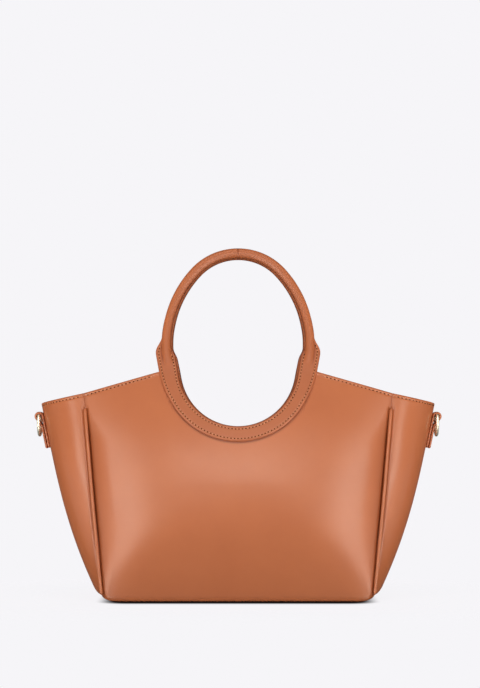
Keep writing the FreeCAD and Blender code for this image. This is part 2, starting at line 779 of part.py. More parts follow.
magnet = add_body("snap_magnet")
magnet_ring = add_sketch(magnet, "ring", "XY_Plane")
add_circle(magnet_ring, size("magnet_diameter") * HALF, "Sizes.magnet_diameter / 2")
add_circle(magnet_ring, size("snap_bore") * HALF, "Sizes.snap_bore / 2")
document.recompute()
add_pad(magnet, magnet_ring, "Sizes.magnet_thickness")
magnet.Placement = front_snap

stud = add_body("snap_stud")
stud_plate = add_sketch(stud, "plate", "XY_Plane")
add_circle(stud_plate, size("snap_diameter") * HALF, "Sizes.snap_diameter / 2")
document.recompute()
add_pad(stud, stud_plate, "Sizes.snap_plate")
stud_post = add_sketch(stud, "post", "XY_Plane")
add_circle(stud_post, size("snap_post") * HALF, "Sizes.snap_post / 2")
document.recompute()
add_pad(stud, stud_post, "Sizes.snap_plate + Sizes.snap_thickness")
stud.Placement = back_snap

# Check every sub-part, then write one file for each.

document.recompute()
for item in document.Objects:
    if "Invalid" in item.State or "Error" in item.State:
        raise ValueError(f"{item.Label} did not build: {item.State}")

os.makedirs("parts", exist_ok=True)
for sub_part in parts:
    shape = sub_part.Shape
    if shape.isNull() or not shape.isValid() or not shape.Solids:
        raise ValueError(f"{sub_part.Label} has no valid solid")
    shape.exportStep(f"parts/{sub_part.Label}.step")
    print(f"{sub_part.Label}: {len(shape.Solids)} solid, {shape.Volume:.0f} cubic mm")

print("hinge", hinge_middle)
print("eye", eye_middle)
print("snap", snap_seat, snap_out)
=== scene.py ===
import math

import bpy
import numpy as np
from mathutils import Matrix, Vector


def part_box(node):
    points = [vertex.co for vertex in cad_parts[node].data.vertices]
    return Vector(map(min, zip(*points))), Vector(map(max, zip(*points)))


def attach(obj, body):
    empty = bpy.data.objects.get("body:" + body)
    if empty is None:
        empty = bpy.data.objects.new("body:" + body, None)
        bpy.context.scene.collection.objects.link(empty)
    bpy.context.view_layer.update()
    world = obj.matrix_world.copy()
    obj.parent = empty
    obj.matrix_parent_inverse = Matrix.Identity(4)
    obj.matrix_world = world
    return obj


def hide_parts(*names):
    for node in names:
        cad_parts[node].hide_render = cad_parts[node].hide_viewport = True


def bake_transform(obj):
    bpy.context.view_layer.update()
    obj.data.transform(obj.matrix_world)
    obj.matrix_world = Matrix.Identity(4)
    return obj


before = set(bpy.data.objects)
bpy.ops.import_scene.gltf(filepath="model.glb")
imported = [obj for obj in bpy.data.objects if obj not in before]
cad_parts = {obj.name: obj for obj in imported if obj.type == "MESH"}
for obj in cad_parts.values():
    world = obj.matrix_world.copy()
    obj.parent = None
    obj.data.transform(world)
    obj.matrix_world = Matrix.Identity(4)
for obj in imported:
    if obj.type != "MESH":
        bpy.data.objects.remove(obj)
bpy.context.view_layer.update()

scene = bpy.context.scene

# Front and back panel: a pillowed sheet of smooth coated leather each, about 2 mm thick.
# Each is sewn to the gussets along piped seams that it swells out beside, turned under at
# the base, and cut to fall from the handle to the seam along its upper edge.
MM = 0.001
SEAM_POINTS = np.array([[122.0, -48.0, 2.5], [132.25, -49.0, 114.25], [142.5, -30.0, 226.0]]) * MM
CROWN_PULLS = np.array([2.5, 28.0, 15.0, 4.2]) * MM
CROWN_POWER = 3
PANEL_WALL, PANEL_ROUND, PANEL_LOW = 2.0 * MM, 0.7 * MM, 0.6 * MM
FULL_RISE, BASE_CROWN, BASE_SLOPE, HIP_BLEND = 0.46, 1.0 * MM, 0.21, 2.0 * MM
SEAM_ROLL, SEAM_STEEP, SEAM_POWER, SEAM_FADE = 21 * MM, 0.17, 2.2, 30 * MM
CORNER_WIDTH, CORNER_RISE = 11 * MM, 7 * MM
TUCK_WIDTH, TUCK_DEPTH = 6 * MM, 2 * MM
CREASE_DEPTH, CREASE_WIDTH, PIPING_TOP = 1.2 * MM, 2.2 * MM, 173.5 * MM
EDGE_ROUND, EDGE_DEPTH = 1.5 * MM, 1.0 * MM
EDGE_INSET, CHANNEL_WIDTH, CHANNEL_DEPTH = 2.6 * MM, 0.7 * MM, 0.35 * MM
RIPPLE_HEIGHT = 0.22 * MM
PANEL_ALLOWANCE, TRIMMED_ALLOWANCE = 3 * MM, 0.4 * MM
MOUTH_HANDLE, MOUTH_SEAM, MOUTH_CORNER = 207.4 * MM, 187.2 * MM, 178.5 * MM
CUTOUT_RADIUS, CUTOUT_HEIGHT, BAND_WIDTH = 54 * MM, 211.4 * MM, 14.1 * MM
BAND_OUTER, BAND_MIDDLE = CUTOUT_RADIUS + BAND_WIDTH, CUTOUT_RADIUS + BAND_WIDTH / 2


def arc_frame(start, middle, end):
    """Centre, two axes and whole angle of the circle through three points."""
    to_middle, to_end = middle - start, end - start
    axis = np.cross(to_middle, to_end)
    side = to_end @ to_end * np.cross(axis, to_middle) + to_middle @ to_middle * np.cross(to_end, axis)
    centre = start + side / (2 * axis @ axis)
    across = start - centre
    along = np.cross(axis / np.linalg.norm(axis), across)
    angle = math.atan2((end - centre) @ along, (end - centre) @ across)
    return centre, across, along, angle


SEAM_ARC = arc_frame(*SEAM_POINTS)


def seam_line(rise):
    """Right front seam: turn from the arc's start by a share, rise, of its whole angle."""
    centre, across, along, angle = SEAM_ARC
    turn = np.asarray(rise)[..., None] * angle
    return centre + np.cos(turn) * across + np.sin(turn) * along


RISE_TABLE = np.linspace(-0.02, 1.02, 400)
HEIGHT_TABLE = seam_line(RISE_TABLE)[:, 2]


def rise_at(height):
    """Rise at which the seam has reached a height."""
    return np.interp(height, HEIGHT_TABLE, RISE_TABLE)


def pulled(pulls, share):
    """Cubic curve from the first to the last pull, drawn towards the two between."""
    rest = 1 - share
    low_side = rest ** 3 * pulls[0] + 3 * rest ** 2 * share * pulls[1]
    return low_side + 3 * rest * share ** 2 * pulls[2] + share ** 3 * pulls[3]


def smooth_step(value, low, high):
    """0 below low, 1 above high and an S between them."""
    share = np.clip((value - low) / (high - low), 0, 1)
    return share * share * (3 - 2 * share)


def bell(distance, width):
    """1 at distance zero, and a bell curve that falls off over a width on both sides of it."""
    return np.exp(-(distance / width) ** 2)


def rolled(distance, width, depth):
    """Depth of a rounded edge: a quarter ellipse that falls to its full depth at distance zero."""
    inside = np.clip(1 - distance / width, 0, 1)
    return depth * (1 - np.sqrt(1 - inside ** 2))


def drawn_in(distance, width, depth):
    """Depth of a soft edge pulled in by a seam: a power of the distance left, full at distance zero."""
    return depth * np.clip(1 - distance / width, 0, 1) ** SEAM_POWER


def piped_crease(to_seam, height):
    """Depth of the narrow groove where the leather meets the piping, up to the piping's top."""
    groove = CREASE_DEPTH * (1 - smooth_step(to_seam, 0.5 * CREASE_WIDTH, 1.7 * CREASE_WIDTH))
    return groove * smooth_step(PIPING_TOP - height, -3 * MM, 2 * MM)


def turned_edge(distance):
    """Depth of a turned and stitched edge: a small round at the edge, and a channel along the stitches."""
    channel = CHANNEL_DEPTH * bell(distance - EDGE_INSET, CHANNEL_WIDTH)
    return rolled(distance, EDGE_ROUND, EDGE_DEPTH) + channel


def nearer(first, second, blend):
    """The smaller of two distances, with the corner between them rounded over a blend length."""
    return -blend * np.logaddexp(-first / blend, -second / blend)


def panel_plain(across, rise):
    """Front panel without its edges: the seam's depth and a crown, cut by a plane that leans in below."""
    seam = seam_line(rise)
    crown = pulled(CROWN_PULLS, np.maximum(rise, FULL_RISE)) * (1 - np.abs(across) ** CROWN_POWER)
    crown = nearer(crown, BASE_CROWN + BASE_SLOPE * seam[..., 2], HIP_BLEND)
    return np.stack([across * seam[..., 0], seam[..., 1] - crown, seam[..., 2]], axis=-1)


def panel_to_seam(across, rise):
    """Level distance left on the panel to its nearer seam."""
    return np.clip(1 - np.abs(across), 0, None) * seam_line(rise)[..., 0]


def panel_top(half):
    """Height of the panel's upper edge: a slope beside the handle, and an arc under the band."""
    seam_half = seam_line(rise_at(MOUTH_SEAM))[0]
    slope = (MOUTH_HANDLE - MOUTH_SEAM) / (seam_half - BAND_OUTER)
    wing = MOUTH_HANDLE - slope * np.clip(np.abs(half) - BAND_OUTER, 0, None)
    under_band = CUTOUT_HEIGHT - np.sqrt(np.clip(BAND_MIDDLE ** 2 - half ** 2, 0, None))
    return np.minimum(wing, under_band)


def panel_bottom(half):
    """Height of the panel's lower edge: level, and rounded up to the seam at both corners."""
    to_seam = np.clip(SEAM_POINTS[0, 0] - np.abs(half), 0, None)
    return PANEL_LOW + rolled(to_seam, CORNER_WIDTH, CORNER_RISE)


def ripple(points):
    """Slow unevenness of soft leather: two crossed waves about a hand long and half a millimetre high."""
    first = np.sin(points[..., 0] / (17 * MM) + points[..., 2] / (31 * MM) + 0.6)
    second = np.sin(points[..., 2] / (19 * MM) - points[..., 0] / (43 * MM) + 1.9)
    return RIPPLE_HEIGHT * first * second


def panel_surface(across, rise):
    """Front panel: the plain sheet drawn in at its seams, its base and its turned top edge."""
    points = panel_plain(across, rise)
    half, height = points[..., 0], points[..., 2]
    to_top = np.clip(panel_top(half) - height, 0, None)
    to_seam = panel_to_seam(across, rise)
    to_base = np.clip(height - panel_bottom(half), 0, None)
    below_top = smooth_step(PIPING_TOP - height, 0, SEAM_FADE)
    above_base = smooth_step(height, -5 * MM, 70 * MM)
    roll = SEAM_ROLL * (0.3 + 0.7 * below_top * above_base)
    depth = drawn_in(to_seam, roll, SEAM_STEEP * roll * smooth_step(to_top, -8 * MM, 26 * MM))
    depth += piped_crease(to_seam, height) + rolled(to_base, TUCK_WIDTH, TUCK_DEPTH) + turned_edge(to_top)
    points[..., 1] += depth + ripple(points) * smooth_step(to_top, 2 * MM, 50 * MM)
    return points


def painted_crease_shade(to_seam, height, spread):
    """Painted shade beside the piping: most in the groove at the piping, and a little over a spread beside
    it.
    """
    piped = smooth_step(PIPING_TOP - height, -2 * MM, 1 * MM)
    painted_shade_and_seam = bell(to_seam, CREASE_WIDTH) * (0.25 + 0.25 * piped)
    return painted_shade_and_seam + 0.22 * piped * smooth_step(PIPING_TOP - height, 0, SEAM_FADE) * bell(to_seam, spread)


def painted_panel_shade(across, rise):
    """Painted shade on the panel: in the groove beside the piping, and a painted shadow in a thin line round
    the handle band.
    """
    points = panel_plain(across, rise)
    creased = painted_crease_shade(panel_to_seam(across, rise), points[..., 2], 9 * MM)
    # Painted shadow in a thin line round the band's outer edge.
    off_band = np.hypot(points[..., 0], CUTOUT_HEIGHT - points[..., 2]) - BAND_OUTER
    return np.maximum(creased, 0.85 * bell(off_band, 1.1 * MM))


def seam_allowance(points, width):
    """A sheet's grid with both side edges turned straight in by a width, but trimmed near the mouth."""
    edges = points[:, [0, -1]]
    below = edges[-1:, :, 2] - edges[..., 2]
    inward = TRIMMED_ALLOWANCE + (width - TRIMMED_ALLOWANCE) * smooth_step(below, 2 * MM, 14 * MM)
    edges[..., 1] -= np.sign(edges[..., 1]) * inward
    return np.concatenate([edges[:, :1], points, edges[:, 1:]], axis=1)


def fitted_grid(surface, bottom, top, columns, rows, edge=1.0):
    """Two parameters on a grid from a sheet's bottom edge to its top edge, closer together at its edges."""
    across = edge * np.sin(np.linspace(-1, 1, columns) * math.pi / 2)
    low, high = np.full(columns, 0.02), np.full(columns, 0.8)
    for _ in range(6):
        low = rise_at(bottom(surface(across, low)[:, 0]))
        high = rise_at(top(surface(across, high)[:, 0]))
    even = np.linspace(0, 1, rows)[:, None]
    share = 0.4 * even + 0.3 * (1 - np.cos(math.pi * even))
    return np.broadcast_to(across, (rows, columns)), low + (high - low) * share


def outward(surface, across, rise):
    """Unit normal of a sheet: the cross product of its level and its upright direction."""
    step = 1e-4
    level = surface(across + step, rise) - surface(across - step, rise)
    upright = surface(across, rise + step) - surface(across, rise - step)
    normal = np.cross(level, upright)
    return normal / np.linalg.norm(normal, axis=-1, keepdims=True)


def grid_piece(name, points, flip=False, ring=False, tone=None, lids=()):
    """Mesh object from one grid of points or more, each with faces between its rows and columns.

    The columns are joined up if they are rings, and lids close the end rows that they name.
    The tone, which says how far each point is darkened by painted shade and dark seams, is kept in the mesh.
    """
    rows, columns = points.shape[-3:-1]
    index = np.arange(points.size // 3).reshape(-1, rows, columns)
    if ring:
        index = np.concatenate([index, index[..., :1]], axis=-1)
    corners = [index[:, :-1, :-1], index[:, :-1, 1:], index[:, 1:, 1:], index[:, 1:, :-1]]
    faces = np.stack(corners[::-1] if flip else corners, axis=-1).reshape(-1, 4).tolist()
    for row in lids:
        lid = index[:, row, :columns]
        faces += (lid if flip == (row == 0) else lid[:, ::-1]).tolist()
    mesh = bpy.data.meshes.new(name)
    mesh.from_pydata(points.reshape(-1, 3).tolist(), [], faces)
    mesh.shade_smooth()
    if tone is not None:
        painted_shade_and_seam = mesh.attributes.new("painted_shade_and_seam", "FLOAT", "POINT")
        painted_shade_and_seam.data.foreach_set("value", np.ravel(tone).astype(np.float32))
    piece = bpy.data.objects.new(name, mesh)
    scene.collection.objects.link(piece)
    return piece


def thicken(piece, wall, round_edge):
    """Give a sheet its wall on the inside, with rounded edges."""
    solid = piece.modifiers.new("wall", "SOLIDIFY")
    solid.thickness = wall
    solid.offset = -1
    bevel = piece.modifiers.new("edge", "BEVEL")
    bevel.width = round_edge
    bevel.segments = 3
    bevel.limit_method = "ANGLE"
    bevel.angle_limit = math.radians(50)


def mirrored(points, side):
    """The same points on the other side of the bag: 0 swaps left and right, 1 swaps front and back."""
    turned = points.copy()
    turned[..., side] *= -1
    return turned


def linear(colour):
    """sRGB hex to linear values with alpha 1."""
    channels = [int(colour[k:k + 2], 16) / 255 for k in (1, 3, 5)]
    return [c / 12.92 if c <= 0.04045 else ((c + 0.055) / 1.055) ** 2.4 for c in channels] + [1.0]


def add_node(tree, kind, settings=(), inputs=()):
    """Add a node, set its properties, and fill its inputs with values or links."""
    node = tree.nodes.new(kind)
    for key, value in dict(settings).items():
        setattr(node, key, value)
    for key, value in dict(inputs).items():
        if isinstance(value, bpy.types.NodeSocket):
            tree.links.new(value, node.inputs[key])
        else:
            node.inputs[key].default_value = value
    return node


def empty_material(name):
    """Material with no nodes yet."""
    material = bpy.data.materials.new(name)
    material.use_nodes = True
    material.node_tree.nodes.clear()
    return material, material.node_tree


# The coat evens the hide out to a soft gloss with slow shifts of tone, and leaves a fine
# grain. The grain's cells are drawn twice as wide as they are, so that they show.
GRAIN_CELL, GRAIN_DEPTH = 1.4 * MM, 0.4 * MM
TONE_SPOT = 45 * MM


def coated_leather(name, light, dark, deep, rough):
    """Leather in two tones, mixed towards a deep colour by painted shade and dark seams kept in the mesh,
    with small grain cells and a gloss that shifts a little.
    """
    material, tree = empty_material(name)
    place = add_node(tree, "ShaderNodeTexCoord").outputs["Object"]
    tone = add_node(tree, "ShaderNodeTexNoise", inputs={
        "Vector": place, "Scale": 1 / TONE_SPOT, "Detail": 4.0, "Roughness": 0.6})
    even = add_node(tree, "ShaderNodeMix", {"data_type": "RGBA"}, {
        "Factor": tone.outputs["Fac"], 6: linear(dark), 7: linear(light)})
    # The deep colour is mixed in by the painted shade and dark seams that the mesh keeps.
    painted_shade_and_seam = add_node(tree, "ShaderNodeAttribute", {"attribute_name": "painted_shade_and_seam"})
    colour = add_node(tree, "ShaderNodeMix", {"data_type": "RGBA"}, {
        "Factor": painted_shade_and_seam.outputs["Fac"], 6: even.outputs[2], 7: linear(deep)})
    grain = add_node(tree, "ShaderNodeTexVoronoi", {"feature": "SMOOTH_F1"}, {
        "Vector": place, "Scale": 1 / GRAIN_CELL, "Smoothness": 0.6})
    pores = add_node(tree, "ShaderNodeTexNoise", inputs={
        "Vector": place, "Scale": 1 / (3 * GRAIN_CELL), "Detail": 3.0})
    gloss = add_node(tree, "ShaderNodeMapRange", inputs={
        "Value": pores.outputs["Fac"], "To Min": rough - 0.06, "To Max": rough + 0.06})
    height = add_node(tree, "ShaderNodeMath", {"operation": "MULTIPLY_ADD"}, {
        0: grain.outputs["Distance"], 1: 0.5, 2: pores.outputs["Fac"]})
    bump = add_node(tree, "ShaderNodeBump", inputs={
        "Height": height.outputs[0], "Strength": 0.06, "Distance": GRAIN_DEPTH})
    shader = add_node(tree, "ShaderNodeBsdfPrincipled", inputs={
        "Base Color": colour.outputs[2], "Roughness": gloss.outputs[0], "Normal": bump.outputs[0],
        "Specular IOR Level": 0.5, "Specular Tint": linear("#FFF5E9")})
    add_node(tree, "ShaderNodeOutputMaterial", inputs={"Surface": shader.outputs[0]})
    return material


# The third, deep colour is mixed in only as painted shade.
tan_leather = coated_leather("tan_coated_leather", "#BF6B3F", "#B26037", "#742C0C", 0.34)


def dress(piece, material, body, slot, *nodes):
    """Give a piece its material and its body, and hide the nodes that it stands for. The slot is not used."""
    piece.data.materials.append(material)
    if body:
        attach(piece, body)
    if nodes:
        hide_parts(*nodes)


panel_grid = fitted_grid(panel_plain, panel_bottom, panel_top, 181, 171)
panel_points = seam_allowance(panel_surface(*panel_grid), PANEL_ALLOWANCE)
# Painted shade and shadow for each point of the panel, kept in its mesh.
panel_painted_shade = np.pad(painted_panel_shade(*panel_grid), ((0, 0), (1, 1)), "edge")
for panel_side, points, flip in (
        ("front", panel_points, False), ("back", mirrored(panel_points, 1), True)):
    panel = grid_piece(f"{panel_side}_panel_leather", points, flip, tone=panel_painted_shade)
    thicken(panel, PANEL_WALL, PANEL_ROUND)
    dress(panel, tan_leather, "shell", "shell_leather", f"{panel_side}_panel")

# Gussets: one leather sheet on each side that bulges out to a pointed upper corner and
# draws in towards the base. Its edges roll back into the same seams as the panels' do.
BULGE_PULLS = np.array([5.4, 37.4, 37.0, 49.3]) * MM
FULL_BULGE = 30 * MM
GUSSET_SWELL, GUSSET_CREST = 6.5 * MM, 24 * MM
GUSSET_LOW, GUSSET_DIP = 7 * MM, 0.5
GUSSET_TUCK_WIDTH, GUSSET_TUCK_DEPTH, GUSSET_ALLOWANCE = 9 * MM, 4 * MM, 6 * MM


def gusset_arc(rise):
    """Radius, middle and half angle of the gusset's level arc through both seams and its ridge."""
    seam = seam_line(rise)
    bulge = pulled(BULGE_PULLS, rise)
    radius = (bulge ** 2 + seam[..., 1] ** 2) / (2 * bulge)
    middle = seam[..., 0] + bulge - radius
    return radius, middle, np.arctan2(-seam[..., 1], seam[..., 0] - middle)


def gusset_plain(across, rise):
    """Right gusset without its rounded edges: level arcs from the front seam to the back one."""
    radius, middle, half_angle = gusset_arc(rise)
    angle = across * half_angle
    half, reach = middle + radius * np.cos(angle), radius * np.sin(angle)
    return np.stack([half, reach, seam_line(rise)[..., 2]], axis=-1)


def gusset_to_seam(across, rise):
    """Distance left along the gusset's arc to its nearer seam."""
    radius, _, half_angle = gusset_arc(rise)
    return np.clip(1 - np.abs(across), 0, None) * radius * half_angle


def gusset_top(half):
    """Height of the gusset's upper edge: a straight fall from the seam to the corner, seen from the front."""
    seam_half = seam_line(rise_at(MOUTH_SEAM))[0]
    corner_half = gusset_plain(np.array(0.0), rise_at(MOUTH_CORNER))[0]
    return MOUTH_SEAM - (half - seam_half) * (MOUTH_SEAM - MOUTH_CORNER) / (corner_half - seam_half)


def gusset_bottom(half):
    """Height of the gusset's lower edge: it dips a little from the seams to the ridge."""
    return GUSSET_LOW - GUSSET_DIP * np.clip(np.abs(half) - SEAM_POINTS[0, 0], 0, None)


def gusset_surface(across, rise):
    """Right gusset: the plain sheet swells beside its seams, and is drawn in at seams, base and top edge."""
    points = gusset_plain(across, rise)
    normal = outward(gusset_plain, across, rise)
    to_seam = gusset_to_seam(across, rise)
    to_top = np.clip(gusset_top(points[..., 0]) - points[..., 2], 0, None)
    to_base = np.clip(points[..., 2] - gusset_bottom(points[..., 0]), 0, None)
    full = smooth_step(to_top, -5 * MM, 75 * MM) * np.clip(pulled(BULGE_PULLS, rise) / FULL_BULGE, 0, 1)
    crest = np.tanh(to_seam / GUSSET_CREST) * (1 - (1 - across ** 2) ** 4)
    depth = piped_crease(to_seam, points[..., 2]) - GUSSET_SWELL * full * crest
    depth += rolled(to_base, GUSSET_TUCK_WIDTH, GUSSET_TUCK_DEPTH) + turned_edge(to_top)
    points[..., :2] -= normal[..., :2] * depth[..., None]
    return points


def painted_gusset_shade(across, rise):
    """Painted shade on the gusset: in the groove beside the piping."""
    return painted_crease_shade(gusset_to_seam(across, rise), seam_line(rise)[..., 2], 5 * MM)


gusset_grid = fitted_grid(gusset_plain, gusset_bottom, gusset_top, 141, 151)
gusset_points = seam_allowance(gusset_surface(*gusset_grid), GUSSET_ALLOWANCE)
# Painted shade for each point of the gusset, kept in its mesh.
gusset_painted_shade = np.pad(painted_gusset_shade(*gusset_grid), ((0, 0), (1, 1)), "edge")
for gusset_side, points, flip in (
        ("right", gusset_points, False), ("left", mirrored(gusset_points, 0), True)):
    gusset = grid_piece(f"{gusset_side}_gusset_leather", points, flip, tone=gusset_painted_shade)
    thicken(gusset, PANEL_WALL, PANEL_ROUND)
    dress(gusset, tan_leather, "shell", "shell_leather", f"{gusset_side}_gusset")

# Pipings: a narrow leather tube over a filler cord, sewn into each of the four upright
# seams. It starts a little below the mouth's edge and fades out at the base's corner.
PIPING_RADIUS, PIPING_LOW, PIPING_TAPER = 1.5 * MM, 6.5 * MM, 3 * MM


def swept_tube(path, radius, around):
    """Round tube along a path: at each point a circle across the path's direction."""
    along = np.gradient(path, axis=0)
    along /= np.linalg.norm(along, axis=1, keepdims=True)
    side = np.cross(along, np.array([0.0, 1.0, 0.0]))
    side /= np.linalg.norm(side, axis=1, keepdims=True)
    front = np.cross(side, along)
    turn = np.linspace(0, 2 * math.pi, around, endpoint=False)[None, :, None]
    circle = np.cos(turn) * side[:, None] + np.sin(turn) * front[:, None]
    return path[:, None] + radius[:, None, None] * circle


piping_share = (1 - np.cos(np.linspace(0, math.pi, 150))) / 2
piping_path = seam_line(rise_at(PIPING_LOW + (PIPING_TOP - PIPING_LOW) * piping_share))
piping_end = np.minimum(piping_share, 1 - piping_share) * (PIPING_TOP - PIPING_LOW) / PIPING_TAPER
piping_radius = PIPING_RADIUS * np.sqrt(1 - np.clip(1 - piping_end, 0, 0.9999) ** 2)
piping_points = swept_tube(piping_path, piping_radius, 20)
for front_back, back in (("front", False), ("back", True)):
    for left_right, left in (("right", False), ("left", True)):
        tube = mirrored(piping_points, 1) if back else piping_points
        tube = mirrored(tube, 0) if left else tube
        seam_name = f"{front_back}_{left_right}_piping"
        piping = grid_piece(f"{seam_name}_leather", tube, back == left, True, lids=(0, -1))
        # The first piping also stands for the filler cords, which are one node and show nowhere.
        cords = [] if back or left else ["piping_cords"]
        dress(piping, tan_leather, "shell", "trim_leather", seam_name, *cords)

# Base: a leather sole with softly rounded edges that the bag stands on. It lies under the
# stiff board, and its rim is drawn in under the walls' tucked edges, where it is glued.
SOLE_HALF, SOLE_REACH, SOLE_POWER, SOLE_CURL = 124.5 * MM, 47.5 * MM, 9.0, 8 * MM
SOLE_FLAT_SHARE, SOLE_RIM_SHARE = 0.8, 0.2


def sole_surface(turn, share):
    """Underside and rim of the sole: a rounded rectangle shrunk to its middle, whose rim curls up.

    The outline is a superellipse, and the curl is a quarter circle over the last share of the way out.
    """
    outline = (np.abs(np.cos(turn)) ** SOLE_POWER + np.abs(np.sin(turn)) ** SOLE_POWER) ** (-1 / SOLE_POWER)
    flat = np.clip(share / SOLE_FLAT_SHARE, 0, 1)
    curl = np.clip((share - SOLE_FLAT_SHARE) / SOLE_RIM_SHARE, 0, 1) * math.pi / 2
    inset = SOLE_CURL * (1 - np.sin(curl))
    half = outline * np.cos(turn) * (SOLE_HALF - inset) * flat
    reach = outline * np.sin(turn) * (SOLE_REACH - inset) * flat
    return np.stack([half, reach, SOLE_CURL * (1 - np.cos(curl))], axis=-1)


sole_turn, sole_share = np.meshgrid(
    np.linspace(0, 2 * math.pi, 240, endpoint=False), np.linspace(0.001, 1, 40))
sole = grid_piece("base_sole_leather", sole_surface(sole_turn, sole_share), ring=True, lids=(0,))
dress(sole, tan_leather, "shell", "shell_leather", "base_panel")

# Handles: a strip of leather that is rolled round a cord over the top, opens out into
# flat ears, and runs on as a flat band stitched round the lower half of the hand cut-out.
# Its two ends meet in a butt seam at the top.
HINGE_HEIGHT, HINGE_HALF = 226 * MM, 64.4 * MM
HANDLE_LEAN = math.radians(14.5)
ARCH_CROWN, ARCH_RISE, ARCH_STRAIGHT = 51.7 * MM, 92.5 * MM, 8 * MM
GRIP_RADIUS, GRIP_FULLER = 4.3 * MM, 0.3 * MM
EAR_ANGLE, EAR_WIDER = math.radians(9.6), 2.8 * MM
BAND_SINK, LEG_SPREAD, STITCH_INSET = 0.8 * MM, 0.4 * MM, 2.7 * MM
HANDLE_STEP = 1.1 * MM
# Heights between which the strip widens to the ears, rises, thins and closes round its cord.
EAR_WIDENS, ROLL_RISES, FLAT_THINS = (178 * MM, 210 * MM), (198 * MM, 228 * MM), (200 * MM, 222 * MM)
INNER_CLOSES, OUTER_CLOSES, FLAT_ENDS = (218 * MM, 231 * MM), (224 * MM, 238 * MM), (228 * MM, 243 * MM)
ROLLED_UP, GRIP_FILLS, BUTT_SEAM = (226 * MM, 240 * MM), (255 * MM, 305 * MM), (300 * MM, 310 * MM)
hinge_point = panel_plain(np.array(HINGE_HALF / seam_line(1.0)[0]), np.array(1.0))
HINGE_REACH = -hinge_point[1] - PANEL_WALL / 2


def arc_points(middle, radius, angles):
    """Points of a flat arc, a radius away from its middle at each angle."""
    return np.stack([middle[0] + radius * np.cos(angles), middle[1] + radius * np.sin(angles)], axis=1)


def arch_side():
    """Right half of the handle's line, in the handle's own plane: leg, shoulder arc and crown arc."""
    lift = ARCH_RISE - ARCH_CROWN - ARCH_STRAIGHT
    shoulder = (HINGE_HALF ** 2 + lift ** 2 - ARCH_CROWN ** 2) / (2 * (HINGE_HALF - ARCH_CROWN))
    turn = math.atan2(lift, shoulder - HINGE_HALF)
    leg = np.stack([np.full(8, HINGE_HALF), np.linspace(0, ARCH_STRAIGHT, 8, endpoint=False)], axis=1)
    side_turns = np.linspace(0, turn, 60, endpoint=False)
    side = arc_points((HINGE_HALF - shoulder, ARCH_STRAIGHT), shoulder, side_turns)
    top = arc_points((0, ARCH_RISE - ARCH_CROWN), ARCH_CROWN, np.linspace(turn, math.pi / 2, 60))
    return np.concatenate([leg, side, top])


def panel_at(half, height, lift):
    """Point that stands a lift outside the plain front panel, and the panel's normal there."""
    rise = rise_at(height)
    across = half / seam_line(rise)[..., 0]
    normal = outward(panel_plain, across, rise)
    return panel_plain(across, rise) + normal * lift, normal


def handle_line():
    """Closed line through the middle of the handle's leather, and the direction that its face looks in."""
    turn = np.linspace(-math.pi / 2, -EAR_ANGLE, 70, endpoint=False)
    band_half, band_height = BAND_MIDDLE * np.cos(turn), CUTOUT_HEIGHT + BAND_MIDDLE * np.sin(turn)
    foot = np.array([BAND_MIDDLE * math.cos(EAR_ANGLE), CUTOUT_HEIGHT - BAND_MIDDLE * math.sin(EAR_ANGLE)])
    hinge = np.array([HINGE_HALF, HINGE_HEIGHT])
    ear = np.linspace(0, 1, 22, endpoint=False)[:, None] * (hinge - foot) + foot
    low, low_face = panel_at(np.append(band_half, ear[:, 0]), np.append(band_height, ear[:, 1]), -BAND_SINK)
    arch = arch_side()
    plane_up = np.array([0, math.sin(HANDLE_LEAN), math.cos(HANDLE_LEAN)])
    plane_face = np.array([0, -math.cos(HANDLE_LEAN), math.sin(HANDLE_LEAN)])
    high = np.array([0, -HINGE_REACH, HINGE_HEIGHT]) + arch[:, 1:] * plane_up
    high[:, 0] = arch[:, 0]
    half_line = np.concatenate([low, high])
    half_face = np.concatenate([low_face, np.broadcast_to(plane_face, high.shape)])
    height = half_line[:, 2]
    spread = smooth_step(height, 205 * MM, 225 * MM) * (1 - smooth_step(height, 238 * MM, 258 * MM))
    half_line[:, 0] += LEG_SPREAD * spread
    line = np.concatenate([half_line, mirrored(half_line, 0)[-2:0:-1]])
    face = np.concatenate([half_face, mirrored(half_face, 0)[-2:0:-1]])
    return line, face


def run_along(line):
    """Distance run to each point of a line."""
    return np.append(0, np.cumsum(np.linalg.norm(np.diff(line, axis=0), axis=1)))


def read_at(places, run, values):
    """Rows of values, known at the distances in run, read at other distances."""
    return np.stack([np.interp(places, run, values[:, k]) for k in range(values.shape[1])], axis=1)


def eased_line(line, face, step):
    """The closed line at even steps, closer at the top seam, with its corners eased by a running mean."""
    both = np.concatenate([line, face], axis=1)
    both = np.concatenate([both, both[:1]])
    run = run_along(both[:, :3])
    even = np.linspace(0, run[-1], int(run[-1] / step), endpoint=False)
    both = read_at(even, run, both)
    weights = np.hanning(11)[1:-1]
    both = sum(w * np.roll(both, k - 4, axis=0) for k, w in enumerate(weights / weights.sum()))
    top = even[np.argmax(both[:, 2])]
    places = np.unique(np.concatenate([even, top + np.linspace(-2.5, 2.5, 21) * MM]))
    both = read_at(places, even, both)
    return both[:, :3], both[:, 3:]


handle_path, handle_face = eased_line(*handle_line(), HANDLE_STEP)


def line_frame(path, face):
    """Across direction and face direction at each point of a closed line, square to it."""
    along = np.roll(path, -1, axis=0) - np.roll(path, 1, axis=0)
    along /= np.linalg.norm(along, axis=1, keepdims=True)
    across = np.cross(along, face)
    across /= np.linalg.norm(across, axis=1, keepdims=True)
    return across, np.cross(across, along)


handle_across, handle_out = line_frame(handle_path, handle_face)


def roll_radius(height):
    """Radius of the rolled handle: a little fuller over the top than on its legs."""
    return GRIP_RADIUS + GRIP_FULLER * smooth_step(height, *GRIP_FILLS)


